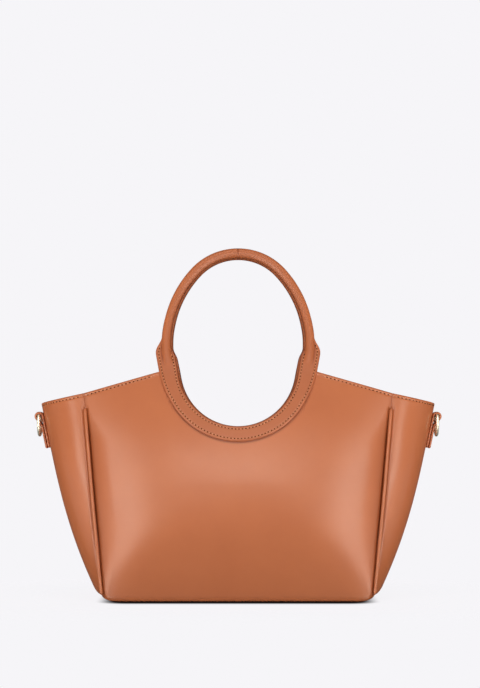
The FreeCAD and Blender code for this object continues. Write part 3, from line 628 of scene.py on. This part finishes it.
def handle_edges(height):
    """Reach of the leather to the outside and the inside of its line: a band, wider ears, then the roll."""
    outer = BAND_WIDTH / 2 + EAR_WIDER * smooth_step(height, *EAR_WIDENS)
    outer = outer + (roll_radius(height) - outer) * smooth_step(height, *OUTER_CLOSES)
    inner = BAND_WIDTH / 2 + (roll_radius(height) - BAND_WIDTH / 2) * smooth_step(height, *INNER_CLOSES)
    return outer, inner


def handle_offset(turn, height):
    """Place across the strip at a turn round it: a cosine between its inner and its outer edge."""
    outer, inner = handle_edges(height)
    return (outer - inner) / 2 + (outer + inner) / 2 * np.cos(turn)


def handle_lift(offset, height, half):
    """Height of the strip's face at an offset: the larger of a flat and a round ridge, by a high power.

    The flat has rounded edges and a channel along each row of stitches. The ridge is the roll's circle,
    and is pinched a little at the butt seam.
    """
    outer, inner = handle_edges(height)
    thinned, ended = smooth_step(height, *FLAT_THINS), smooth_step(height, *FLAT_ENDS)
    flat = (2.8 - 1.4 * thinned) * MM * (1 - ended)
    middle, reach = (outer - inner) / 2, (outer + inner) / 2
    rim = np.clip(1 - np.abs((offset - middle) / reach) ** 9, 0, 1) ** (1 / 3)
    to_edge = np.minimum(outer - offset, inner + offset)
    channel = 0.3 * MM * bell(to_edge - STITCH_INSET, 0.6 * MM)
    lay = np.clip(flat - channel, 0, None) * rim
    butt = 1 - 0.12 * bell(half, 0.4 * MM) * smooth_step(height, *BUTT_SEAM)
    circle = np.sqrt(np.clip(roll_radius(height) ** 2 - offset ** 2, 0, None))
    ridge = smooth_step(height, *ROLL_RISES) * butt * circle
    return (lay ** 5 + ridge ** 5) ** (1 / 5)


def handle_surface(turn, path, across, out):
    """Skin round the handle's line: an offset across it, and the face's height on both sides of it."""
    height, half = path[:, 2][:, None], path[:, 0][:, None]
    offset = handle_offset(turn, height)
    lift = np.sign(np.sin(turn)) * handle_lift(offset, height, half)
    return path[:, None] + offset[..., None] * across[:, None] + lift[..., None] * out[:, None]


def handle_shade_and_seam_tone(turn, path):
    """Painted shade on the handle, and its dark butt seam: slight shade but for the roll's outside, and more
    along the roll's inner seam line, beside the roll on the ears and on the band's cut edge.
    """
    height, half = path[:, 2][:, None], path[:, 0][:, None]
    offset = handle_offset(turn, height)
    to_inner = offset + handle_edges(height)[1]
    rolled_up = smooth_step(height, *ROLLED_UP)
    # Slight painted shade over the band, the ears and the roll's inner half.
    plain = 0.18 * (1 - rolled_up * smooth_step(offset, -1 * MM, 2.5 * MM))
    # Painted shade along the roll's inner side, drawn as a dark line at its seam, less of it over the top.
    seam = (0.75 - 0.4 * smooth_step(height, 280 * MM, 305 * MM)) * rolled_up * bell(to_inner, 1.0 * MM)
    butt = 0.85 * bell(half, 0.5 * MM) * smooth_step(height, *BUTT_SEAM)
    # Painted shade where the roll rises off the flat ears.
    beside = bell(np.abs(offset) - GRIP_RADIUS - 0.4 * MM, 0.8 * MM)
    foot = 0.75 * beside * smooth_step(height, 205 * MM, 222 * MM) * (1 - rolled_up)
    # Painted shade on the band's inner cut edge, from below the ears up to the roll.
    cut = 0.9 * bell(to_inner, 0.9 * MM) * smooth_step(height, 165 * MM, 190 * MM) * (1 - rolled_up)
    return np.maximum(np.maximum(plain, cut), np.maximum(seam, butt) + foot)


# The strip is the same leather as the panels, a little duller where hands hold it.
# Its deep colour is mixed in as painted shade, and at the butt seam as the seam's dark line.
handle_leather = coated_leather("tan_handle_leather", "#BF6B3F", "#B26037", "#742C0C", 0.43)
handle_turn = np.linspace(0, 2 * math.pi, 80, endpoint=False)[None, :]
handle_points = handle_surface(handle_turn, handle_path, handle_across, handle_out)
handle_points = np.concatenate([handle_points, handle_points[:1]])
# Painted shade and the butt seam's dark line for each point of the handle.
handle_shade_and_seams = handle_shade_and_seam_tone(handle_turn, handle_path)
handle_shade_and_seams = np.concatenate([handle_shade_and_seams, handle_shade_and_seams[:1]])


def bend_with_handle(piece):
    """Bake a piece's placement into its mesh."""
    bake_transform(piece)


for handle_side, points, flip in (
        ("front", handle_points, True), ("back", mirrored(handle_points, 1), False)):
    handle = grid_piece(f"{handle_side}_handle_leather", points, flip, True, handle_shade_and_seams)
    replaced = [f"{handle_side}_handle_{word}" for word in ("band", "grip", "core")]
    dress(handle, handle_leather, None, "trim_leather", *replaced)
    bend_with_handle(handle)

# Stitches: waxed thread in the leather's own colour, in two rows round each handle band
# and one row below the mouth's edge. Each stitch shows as a short rounded bar that dips
# into its holes at both ends.
STITCH_LENGTH, STITCH_RADIUS = 2.0 * MM, 0.42 * MM
HOLE_LENGTH, HOLE_RADIUS, HOLE_SINK = 1.8 * MM, 0.7 * MM, 0.3 * MM
BAND_PITCH, EDGE_PITCH = 3.1 * MM, 3.6 * MM
OUTER_ROW_TOP, INNER_ROW_TOP = 230 * MM, 222 * MM


def stitch_grids(line, out, pitch, length, thick, first):
    """A small bar at each step along a line, from a first share of a step: a tube that thins and dips."""
    run = run_along(line)
    places = (np.arange(int(run[-1] / pitch)) + first) * pitch
    middle, lift = read_at(places, run, line), read_at(places, run, out)
    along = read_at(places + 0.1 * pitch, run, line) - read_at(places - 0.1 * pitch, run, line)
    along /= np.linalg.norm(along, axis=1, keepdims=True)
    side = np.cross(along, lift)
    side /= np.linalg.norm(side, axis=1, keepdims=True)
    share = np.linspace(-1, 1, 6)[None, :, None, None]
    turn = np.linspace(0, 2 * math.pi, 6, endpoint=False)[None, None, :, None]
    radius = thick * np.sqrt(1.02 - share ** 4)
    across = radius * (np.cos(turn) * side[:, None, None] + np.sin(turn) * lift[:, None, None])
    dip = thick * share ** 2 * lift[:, None, None]
    return middle[:, None, None] + share * length / 2 * along[:, None, None] + across - dip


def sewn_row(line, out, pitch):
    """Grids of the thread's bars along a line, and of the needle holes between them."""
    bars = stitch_grids(line, out, pitch, STITCH_LENGTH, STITCH_RADIUS, 0.5)
    holes = stitch_grids(line - HOLE_SINK * out, out, pitch, HOLE_LENGTH, HOLE_RADIUS, 1.0)
    return bars, holes


# A wave texture of scale 1 has its bands about 0.31 apart. The thread's twist gives short
# slanted bands, and wax leaves it a slight gloss. A needle hole is bare fibre, its dark
# colour painted shade in the hole.
WAVE_BAND, FIBRE_BAND = 0.31, 0.5 * MM


def fibres(name, light, dark, rough, shine):
    """Fibres twisted or pressed together: fine slanted bands of two close tones, more or less dull."""
    material, tree = empty_material(name)
    place = add_node(tree, "ShaderNodeTexCoord").outputs["Object"]
    twist = add_node(tree, "ShaderNodeTexWave", {"bands_direction": "DIAGONAL"}, {
        "Vector": place, "Scale": WAVE_BAND / FIBRE_BAND, "Distortion": 2.0})
    colour = add_node(tree, "ShaderNodeMix", {"data_type": "RGBA"}, {
        "Factor": twist.outputs["Fac"], 6: linear(dark), 7: linear(light)})
    shader = add_node(tree, "ShaderNodeBsdfPrincipled", inputs={
        "Base Color": colour.outputs[2], "Roughness": rough, "Specular IOR Level": shine})
    add_node(tree, "ShaderNodeOutputMaterial", inputs={"Surface": shader.outputs[0]})
    return material


thread = fibres("waxed_thread", "#D99A6C", "#B26A40", 0.5, 0.4)
# The holes' dark colours are painted shade.
needle_hole_painted_shade = fibres("needle_hole_painted_shade", "#5E2A12", "#451C0A", 1.0, 0.0)


def sew(name, rows, flip, body, bends_with=None):
    """Two pieces for rows of stitches, thread and needle holes, that ride on a body, or have their placement
    baked into their mesh when they go with a handle.
    """
    for word, material, grids in zip(("thread", "holes"), (thread, needle_hole_painted_shade), rows):
        piece = grid_piece(f"{name}_{word}", grids, flip, True, lids=(0, -1))
        dress(piece, material, body, "trim_leather")
        if bends_with:
            bend_with_handle(piece)


def band_row(edge, face, top):
    """Line of stitches along one edge of the handle's band, up to a height, on its front or inner face."""
    order = np.argsort((np.arange(len(handle_path)) + len(handle_path) // 2) % len(handle_path))
    path, across, out = handle_path[order], handle_across[order], handle_out[order]
    low = path[:, 2] < top
    path, across, out = path[low], across[low], out[low]
    height = path[:, 2]
    outer, inner = handle_edges(height)
    offset = outer - STITCH_INSET if edge == "outer" else STITCH_INSET - inner
    lift = handle_lift(offset, height, path[:, 0]) + 0.1 * MM
    return path + offset[:, None] * across + face * lift[:, None] * out, face * out


band_stitches = [
    sewn_row(*band_row(edge, face, top), BAND_PITCH)
    for edge, top in (("outer", OUTER_ROW_TOP), ("inner", INNER_ROW_TOP)) for face in (1, -1)]
band_stitches = [np.concatenate(grids) for grids in zip(*band_stitches)]
sew("front_band", band_stitches, True, None, "front")
sew("back_band", [mirrored(grids, 1) for grids in band_stitches], False, None, "back")


def edge_row(surface, plain, top, across):
    """Line of stitches just below a wall's upper edge, and the wall's normal along it."""
    rise = np.full_like(across, 0.8)
    for _ in range(6):
        rise = rise_at(top(plain(across, rise)[:, 0]) - EDGE_INSET)
    normal = outward(surface, across, rise)
    return surface(across, rise) + normal * 0.15 * MM, normal


wing_row = edge_row(panel_surface, panel_plain, panel_top, np.linspace(0.545, 0.985, 80))
corner_row = edge_row(gusset_surface, gusset_plain, gusset_top, np.linspace(-0.97, 0.97, 160))
wing_stitches = sewn_row(*wing_row, EDGE_PITCH)
corner_stitches = sewn_row(*corner_row, EDGE_PITCH)
for name, rows, swaps in (
        ("front_right_wing", wing_stitches, ()), ("front_left_wing", wing_stitches, (0,)),
        ("back_right_wing", wing_stitches, (1,)), ("back_left_wing", wing_stitches, (0, 1)),
        ("right_gusset", corner_stitches, ()), ("left_gusset", corner_stitches, (0,))):
    for side in swaps:
        rows = [mirrored(grids, side) for grids in rows]
    sew(name, rows, len(swaps) != 1, "shell")

# Strap tabs: a leather strap folded round the D-ring's bar, with both ends sewn down on
# the gusset's ridge. The fold leaves an open loop that the ring swings in.
TAB_WIDTH, TAB_STRAP, TAB_LENGTH, TAB_DROP = 16 * MM, 2.2 * MM, 30 * MM, 26 * MM
RING_WIRE, EYE_ROOM, EYE_OUT = 2.8 * MM, 0.7 * MM, 4.0 * MM
EYE_MIDDLE = RING_WIRE / 2 + EYE_ROOM + TAB_STRAP / 2
tab_rise = rise_at(MOUTH_CORNER - TAB_DROP)
tab_out = outward(gusset_plain, np.array(0.0), np.array(tab_rise))
tab_up = np.array([-tab_out[2], 0, tab_out[0]])
tab_across = np.array([0, 1.0, 0])
tab_eye = gusset_plain(np.array(0.0), np.array(tab_rise)) + tab_up * TAB_LENGTH / 2
tab_eye = tab_eye + tab_out * EYE_OUT


def strap_line():
    """Side view of the folded strap as two columns, out and up: up the gusset, round the bar and down."""
    share = np.linspace(0, 1, 40)
    back = np.stack([np.full(39, -EYE_MIDDLE), -TAB_LENGTH * (1 - share[:-1] ** 2)], axis=1)
    loop = arc_points((0, 0), EYE_MIDDLE, np.linspace(math.pi, -0.85, 40))
    down = 1 - (1 - share[1:]) ** 2
    front_out = TAB_STRAP * 1.08 - EYE_MIDDLE
    start = loop[-1]
    lean = start[0] + (front_out - start[0]) * smooth_step(down, 0, 0.28)
    front = np.stack([lean, start[1] + (-TAB_LENGTH - start[1]) * down], axis=1)
    return np.concatenate([back, loop, front])


def strap_surface(line, turn):
    """Flat strap along a line: a rounded rectangle, wide along the bar and thin across the line.

    Its thickness falls off as a quarter circle at both ends.
    """
    along = np.gradient(line, axis=0)
    along /= np.linalg.norm(along, axis=1, keepdims=True)
    thin = np.stack([-along[:, 1], along[:, 0]], axis=1)
    wide = np.sign(np.cos(turn)) * np.abs(np.cos(turn)) ** 0.25 * TAB_WIDTH / 2
    run = run_along(line)
    to_end = np.minimum(run, run[-1] - run) / (0.6 * TAB_STRAP)
    thick = TAB_STRAP / 2 * np.sqrt(1 - np.clip(1 - to_end, 0, 0.99) ** 2)
    deep = np.sign(np.sin(turn)) * np.abs(np.sin(turn)) ** 0.5 * thick[:, None]
    flat = line[:, None] + thin[:, None] * deep[..., None]
    wide = np.broadcast_to(wide[None], flat.shape[:2])
    return np.stack([flat[..., 0], wide, flat[..., 1]], axis=-1)


def drawn_together(ring, share):
    """A ring of points shrunk to a share of its size about its middle."""
    middle = ring.mean(axis=1, keepdims=True)
    return middle + (ring - middle) * share


def shut_ends(grid):
    """A tube's grid with its two end rings drawn in to their middles."""
    first, last = grid[:1], grid[-1:]
    start = [drawn_together(first, 0.02), drawn_together(first, 0.9)]
    end = [drawn_together(last, 0.9), drawn_together(last, 0.02)]
    return np.concatenate([*start, grid, *end])


strap_turn = np.linspace(0, 2 * math.pi, 32, endpoint=False)
strap = shut_ends(strap_surface(strap_line(), strap_turn))
right_tab = tab_eye + strap[..., :1] * tab_out + strap[..., 1:2] * tab_across + strap[..., 2:] * tab_up
for tab_side, points, flip in (("right", right_tab, False), ("left", mirrored(right_tab, 0), True)):
    tab = grid_piece(f"{tab_side}_strap_tab", points, flip, True, lids=(0, -1))
    dress(tab, tan_leather, "shell", "trim_leather", f"{tab_side}_ring_tab")

# Inside: leather facings round the mouth, and a plain woven lining below them that is
# sewn to the facings' lower edges and stretched over the walls and the base board.
FACING_LOW, LINING_LOW, LINING_LAP = 125 * MM, 5.5 * MM, 0.2 * MM
LAYER_GAP, LAYER_ROUND = 2.2 * MM, 0.3 * MM
FACING_WALL, LINING_WALL = 1.2 * MM, 0.8 * MM
PANEL_INNER_SHARE, GUSSET_INNER_SHARE = 0.962, 0.93
BASE_HALF, BASE_REACH, BASE_POWER = 121.5 * MM, 46.8 * MM, 12
WEAVE_THREAD, WEAVE_DEPTH = 1.2 * MM, 0.3 * MM


def inner_layer(surface, depth, across, rise):
    """A sheet that lies a depth inside a wall's surface."""
    return surface(across, rise) - outward(surface, across, rise) * depth


def woven_cloth(name, light, dark, thread_width):
    """Plain weave: warp and weft waves at the thread's spacing, in two tones."""
    material, tree = empty_material(name)
    place = add_node(tree, "ShaderNodeTexCoord").outputs["Object"]
    scale = WAVE_BAND / thread_width
    warp = add_node(tree, "ShaderNodeTexWave", {"bands_direction": "X"}, {"Vector": place, "Scale": scale})
    weft = add_node(tree, "ShaderNodeTexWave", {"bands_direction": "Z"}, {"Vector": place, "Scale": scale})
    weave = add_node(tree, "ShaderNodeMath", {"operation": "MULTIPLY"}, {
        0: warp.outputs["Fac"], 1: weft.outputs["Fac"]})
    colour = add_node(tree, "ShaderNodeMix", {"data_type": "RGBA"}, {
        "Factor": weave.outputs[0], 6: linear(dark), 7: linear(light)})
    bump = add_node(tree, "ShaderNodeBump", inputs={
        "Height": weave.outputs[0], "Strength": 0.3, "Distance": WEAVE_DEPTH})
    shader = add_node(tree, "ShaderNodeBsdfPrincipled", inputs={
        "Base Color": colour.outputs[2], "Roughness": 0.85, "Normal": bump.outputs[0]})
    add_node(tree, "ShaderNodeOutputMaterial", inputs={"Surface": shader.outputs[0]})
    return material


# The weave gives a dull, fine check of two tones, and its threads are drawn coarser than
# they are, so that they show. The facing is the panels' leather, darker and less polished.
lining_cloth = woven_cloth("lining_plain_weave", "#A98F74", "#7F684F", WEAVE_THREAD)
facing_leather = coated_leather("facing_coated_leather", "#B56C48", "#A65E3A", "#6E3012", 0.5)


def facing_low(half):
    """Lower edge of the facing: level."""
    return np.full_like(half, FACING_LOW)


def lining_top(half):
    """Upper edge of the lining: level, just below the facing."""
    return np.full_like(half, FACING_LOW - LINING_LAP)


def lining_low(half):
    """Lower edge of the lining: level, on the base lining."""
    return np.full_like(half, LINING_LOW)


inner_sheets = (
    ("facing", facing_leather, "facing_leather", facing_low, panel_top, gusset_top, FACING_WALL),
    ("lining", lining_cloth, "lining_fabric", lining_low, lining_top, lining_top, LINING_WALL),
)
for word, material, slot, low, panel_cut, gusset_cut, wall in inner_sheets:
    panel_fit = fitted_grid(panel_plain, low, panel_cut, 101, 61, PANEL_INNER_SHARE)
    gusset_fit = fitted_grid(gusset_plain, low, gusset_cut, 61, 61, GUSSET_INNER_SHARE)
    panel_sheet = inner_layer(panel_surface, LAYER_GAP, *panel_fit)
    gusset_sheet = inner_layer(gusset_surface, LAYER_GAP, *gusset_fit)
    for node, grid, flip, side in (
            (f"front_{word}", panel_sheet, False, 1), (f"back_{word}", panel_sheet, True, 1),
            (f"right_gusset_{word}", gusset_sheet, False, 0), (f"left_gusset_{word}", gusset_sheet, True, 0)):
        inner = grid_piece(f"{node}_sheet", mirrored(grid, side) if flip else grid, flip)
        thicken(inner, wall, LAYER_ROUND)
        dress(inner, material, "shell", slot, node)


def base_sheet(across, along):
    """Base lining over the board and up to the walls: a rectangle whose corners a power rounds a little."""
    pull = (1 + (np.abs(across) * np.abs(along)) ** BASE_POWER) ** (-1 / BASE_POWER)
    height = np.full_like(across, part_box("base_lining")[1][2])
    return np.stack([across * pull * BASE_HALF, along * pull * BASE_REACH, height], axis=-1)


base_grid = base_sheet(*np.meshgrid(np.linspace(-1, 1, 61), np.linspace(-1, 1, 41)))
base_cloth = grid_piece("base_lining_sheet", base_grid)
thicken(base_cloth, LINING_WALL, LAYER_ROUND)
dress(base_cloth, lining_cloth, "shell", "lining_fabric", "base_lining")

# Metal and stiffeners: D-rings and snap halves are turned and bent metal with a pale gold
# plate. The magnet sits in the socket, and the base board lies hidden under its lining.
POLISH_MARK = 2 * MM


def plated_metal(name, colour, rough, metallic):
    """Metal with a gloss that fine polishing marks break up a little, under more or less clear lacquer."""
    material, tree = empty_material(name)
    place = add_node(tree, "ShaderNodeTexCoord").outputs["Object"]
    marks = add_node(tree, "ShaderNodeTexNoise", inputs={
        "Vector": place, "Scale": 1 / POLISH_MARK, "Detail": 4.0})
    gloss = add_node(tree, "ShaderNodeMapRange", inputs={
        "Value": marks.outputs["Fac"], "To Min": rough - 0.05, "To Max": rough + 0.05})
    shader = add_node(tree, "ShaderNodeBsdfPrincipled", inputs={
        "Base Color": linear(colour), "Metallic": metallic, "Roughness": gloss.outputs[0]})
    add_node(tree, "ShaderNodeOutputMaterial", inputs={"Surface": shader.outputs[0]})
    return material


# Lacquer over the thin plate keeps it pale and soft in its reflections. The sintered magnet
# is a dull grey metal, and the board shows dark pressed fibres.
gold_plate = plated_metal("pale_gold_plate", "#F6EBCF", 0.28, 0.7)
magnet_metal = plated_metal("sintered_magnet", "#5A5A5C", 0.35, 1.0)
board = fibres("pressed_fibre_board", "#3A342E", "#2A2520", 0.9, 0.2)
for node, material in (
        ("left_d_ring", gold_plate), ("right_d_ring", gold_plate), ("snap_socket", gold_plate),
        ("snap_stud", gold_plate), ("snap_magnet", magnet_metal), ("base_board", board)):
    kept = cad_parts[node]
    kept.data.materials.clear()
    kept.data.materials.append(material)

# Studio: a pale floor that fades into a white background, and a level camera. Softboxes
# stand in front, above and at both sides, with strips that are only seen as a gloss on the
# leather, and fills that light what turns away and are never seen as a gloss.
FLOOR_HALF, FLOOR_FADE = 3.0, (0.04, 0.2)
CONTACT_HALF, CONTACT_REACH, CONTACT_FADE = 0.099, 0.044, (12 * MM, 30 * MM)
level_x, level_y = np.meshgrid(np.linspace(-1, 1, 3), np.linspace(-1, 1, 3))
floor = grid_piece("studio_floor", np.stack([level_x, level_y, np.zeros((3, 3))], axis=-1) * FLOOR_HALF)
floor_material, tree = empty_material("pale_floor")
floor_matt = add_node(tree, "ShaderNodeBsdfDiffuse", inputs={"Color": linear("#4A4A4A")})
floor_glow = add_node(tree, "ShaderNodeEmission", inputs={"Color": linear("#F6F5F8"), "Strength": 0.95})


def seen_rays(tree, output):
    """1 for rays from the camera and through glass, and a little for a gloss that looks behind the bag."""
    ray = add_node(tree, "ShaderNodeLightPath")
    direct = add_node(tree, "ShaderNodeMath", {"operation": "MAXIMUM"}, {
        0: ray.outputs["Is Camera Ray"], 1: ray.outputs["Is Transmission Ray"]})
    place = add_node(tree, "ShaderNodeTexCoord").outputs[output]
    place = add_node(tree, "ShaderNodeSeparateXYZ", inputs={0: place})
    behind = add_node(tree, "ShaderNodeMapRange", inputs={
        "Value": place.outputs["Y"], "From Min": 0.0, "From Max": 0.05, "To Max": 0.05})
    mirror = add_node(tree, "ShaderNodeMath", {"operation": "MULTIPLY"}, {
        0: ray.outputs["Is Glossy Ray"], 1: behind.outputs[0]})
    both = add_node(tree, "ShaderNodeMath", {"operation": "MAXIMUM"}, {
        0: direct.outputs[0], 1: mirror.outputs[0]})
    return both.outputs[0]


floor_lit = add_node(tree, "ShaderNodeAddShader", inputs={0: floor_matt.outputs[0], 1: floor_glow.outputs[0]})
floor_place = add_node(tree, "ShaderNodeTexCoord").outputs["Object"]
# Painted contact shadow: the floor that the camera sees is painted nearly black under the bag,
# and the paint is gone within three centimetres in front of it.
aside = add_node(tree, "ShaderNodeVectorMath", {"operation": "ABSOLUTE"}, {0: floor_place})
aside = add_node(tree, "ShaderNodeVectorMath", {"operation": "SUBTRACT"}, {
    0: aside.outputs[0], 1: (CONTACT_HALF, CONTACT_REACH, 1.0)})
aside = add_node(tree, "ShaderNodeVectorMath", {"operation": "MAXIMUM"}, {
    0: aside.outputs[0], 1: (0.0, 0.0, 0.0)})
aside = add_node(tree, "ShaderNodeVectorMath", {"operation": "LENGTH"}, {0: aside.outputs[0]})
open_floor = add_node(tree, "ShaderNodeMapRange", {"interpolation_type": "SMOOTHSTEP"}, {
    "Value": aside.outputs["Value"], "From Min": CONTACT_FADE[0], "From Max": CONTACT_FADE[1]})
# The nearly black colour of the painted contact shadow.
painted_contact_shadow = add_node(tree, "ShaderNodeBsdfDiffuse", inputs={"Color": linear("#1C120C")})
floor_seen = add_node(tree, "ShaderNodeMixShader", inputs={
    0: open_floor.outputs[0], 1: painted_contact_shadow.outputs[0], 2: floor_lit.outputs[0]})
floor_shader = add_node(tree, "ShaderNodeMixShader", inputs={
    0: seen_rays(tree, "Object"), 1: floor_matt.outputs[0], 2: floor_seen.outputs[0]})
clear = add_node(tree, "ShaderNodeBsdfTransparent")
fade = add_node(tree, "ShaderNodeMapRange", {"interpolation_type": "SMOOTHSTEP"}, {
    "Value": aside.outputs["Value"], "From Min": FLOOR_FADE[0], "From Max": FLOOR_FADE[1]})
floor_mix = add_node(tree, "ShaderNodeMixShader", inputs={
    0: fade.outputs[0], 1: floor_shader.outputs[0], 2: clear.outputs[0]})
add_node(tree, "ShaderNodeOutputMaterial", inputs={"Surface": floor_mix.outputs[0]})
floor.data.materials.append(floor_material)
floor.visible_glossy = False
floor.visible_shadow = False

world = bpy.data.worlds.new("studio")
world.use_nodes = True
world.node_tree.nodes.clear()
tree = world.node_tree
# The room is dimmer behind the bag, so that the leather keeps its colour where it turns away.
sky_place = add_node(tree, "ShaderNodeTexCoord").outputs["Generated"]
sky_place = add_node(tree, "ShaderNodeSeparateXYZ", inputs={0: sky_place})
sky_back = add_node(tree, "ShaderNodeMapRange", inputs={
    "Value": add_node(tree, "ShaderNodeLightPath").outputs["Is Glossy Ray"], "To Min": 0.2, "To Max": 0.03})
sky_level = add_node(tree, "ShaderNodeMapRange", inputs={
    "Value": sky_place.outputs["Y"], "From Min": -0.6, "From Max": 0.1,
    "To Min": 0.34, "To Max": sky_back.outputs[0]})
sky = add_node(tree, "ShaderNodeBackground", inputs={"Color": (1, 1, 1, 1), "Strength": sky_level.outputs[0]})
white = add_node(tree, "ShaderNodeBackground", inputs={"Color": linear("#F6F5F8"), "Strength": 1.0})
both = add_node(tree, "ShaderNodeMixShader", inputs={
    0: seen_rays(tree, "Generated"), 1: sky.outputs[0], 2: white.outputs[0]})
add_node(tree, "ShaderNodeOutputWorld", inputs={"Surface": both.outputs[0]})
scene.world = world

# Each lamp: degrees round from the front and up, width, height and brightness of its face.
LAMP_AWAY = 1.8
LAMPS = (
    ("front_softbox", 0, 12, 0.7, 0.4, 5.5),
    ("left_softbox", -32, 4, 0.42, 0.8, 8.1),
    ("right_softbox", 32, 4, 0.42, 0.8, 8.1),
    ("front_strip", 0, 18, 0.22, 0.3, 9.0),
    ("left_inner_strip", -27, -13, 0.4, 0.35, 8.5),
    ("right_inner_strip", 27, -13, 0.4, 0.35, 8.5),
    ("left_low_strip", -48, -20, 0.5, 0.4, 9.0),
    ("right_low_strip", 48, -20, 0.5, 0.4, 9.0),
    ("left_floor_strip", -38, -42, 0.6, 0.5, 6.0),
    ("right_floor_strip", 38, -42, 0.6, 0.5, 6.0),
    ("left_fill", -80, -14, 1.0, 1.0, 3.8),
    ("right_fill", 80, -14, 1.0, 1.0, 3.8),
    ("back_fill", 180, 15, 1.2, 1.0, 4.0),
    ("top_softbox", 0, 62, 1.6, 0.6, 2.6),
)
lamp_target = Vector((0.0, 0.0, 0.13))
for name, round_from_front, up, width, height, brightness in LAMPS:
    round_from_front, up = math.radians(round_from_front), math.radians(up)
    level = math.cos(up)
    toward = Vector((math.sin(round_from_front) * level, -math.cos(round_from_front) * level, math.sin(up)))
    light = bpy.data.lights.new(name, "AREA")
    light.shape = "RECTANGLE"
    light.size = width
    light.size_y = height
    light.energy = brightness * math.pi * width * height
    lamp = bpy.data.objects.new(name, light)
    lamp.location = lamp_target + LAMP_AWAY * toward
    lamp.rotation_euler = (-toward).to_track_quat("-Z", "Y").to_euler()
    lamp.visible_diffuse = not name.endswith("strip")
    lamp.visible_glossy = not name.endswith("fill")
    scene.collection.objects.link(lamp)

# The camera looks level. The frame is shifted so that the bag's middle and the camera's
# height fall on the pixel column and row that they have in the photo.
CAMERA_AWAY, CAMERA_HEIGHT = 1.8, 0.1626
FRAME_WIDE, FRAME_HIGH, PIXEL = 480, 688, 0.92 * MM
MIDDLE_COLUMN, LEVEL_ROW = 238.05, 420.5
camera = bpy.data.cameras.new("photo_camera")
camera.sensor_fit = "VERTICAL"
camera.sensor_height = 36.0
camera.lens = camera.sensor_height * CAMERA_AWAY / (FRAME_HIGH * PIXEL)
camera.shift_x = (FRAME_WIDE / 2 - MIDDLE_COLUMN) / FRAME_HIGH
camera.shift_y = (LEVEL_ROW - FRAME_HIGH / 2) / FRAME_HIGH
eye = bpy.data.objects.new("photo_camera", camera)
eye.location = (0, -CAMERA_AWAY, CAMERA_HEIGHT)
eye.rotation_euler = (math.pi / 2, 0, 0)
scene.collection.objects.link(eye)
scene.camera = eye
scene.view_settings.view_transform = "Standard"
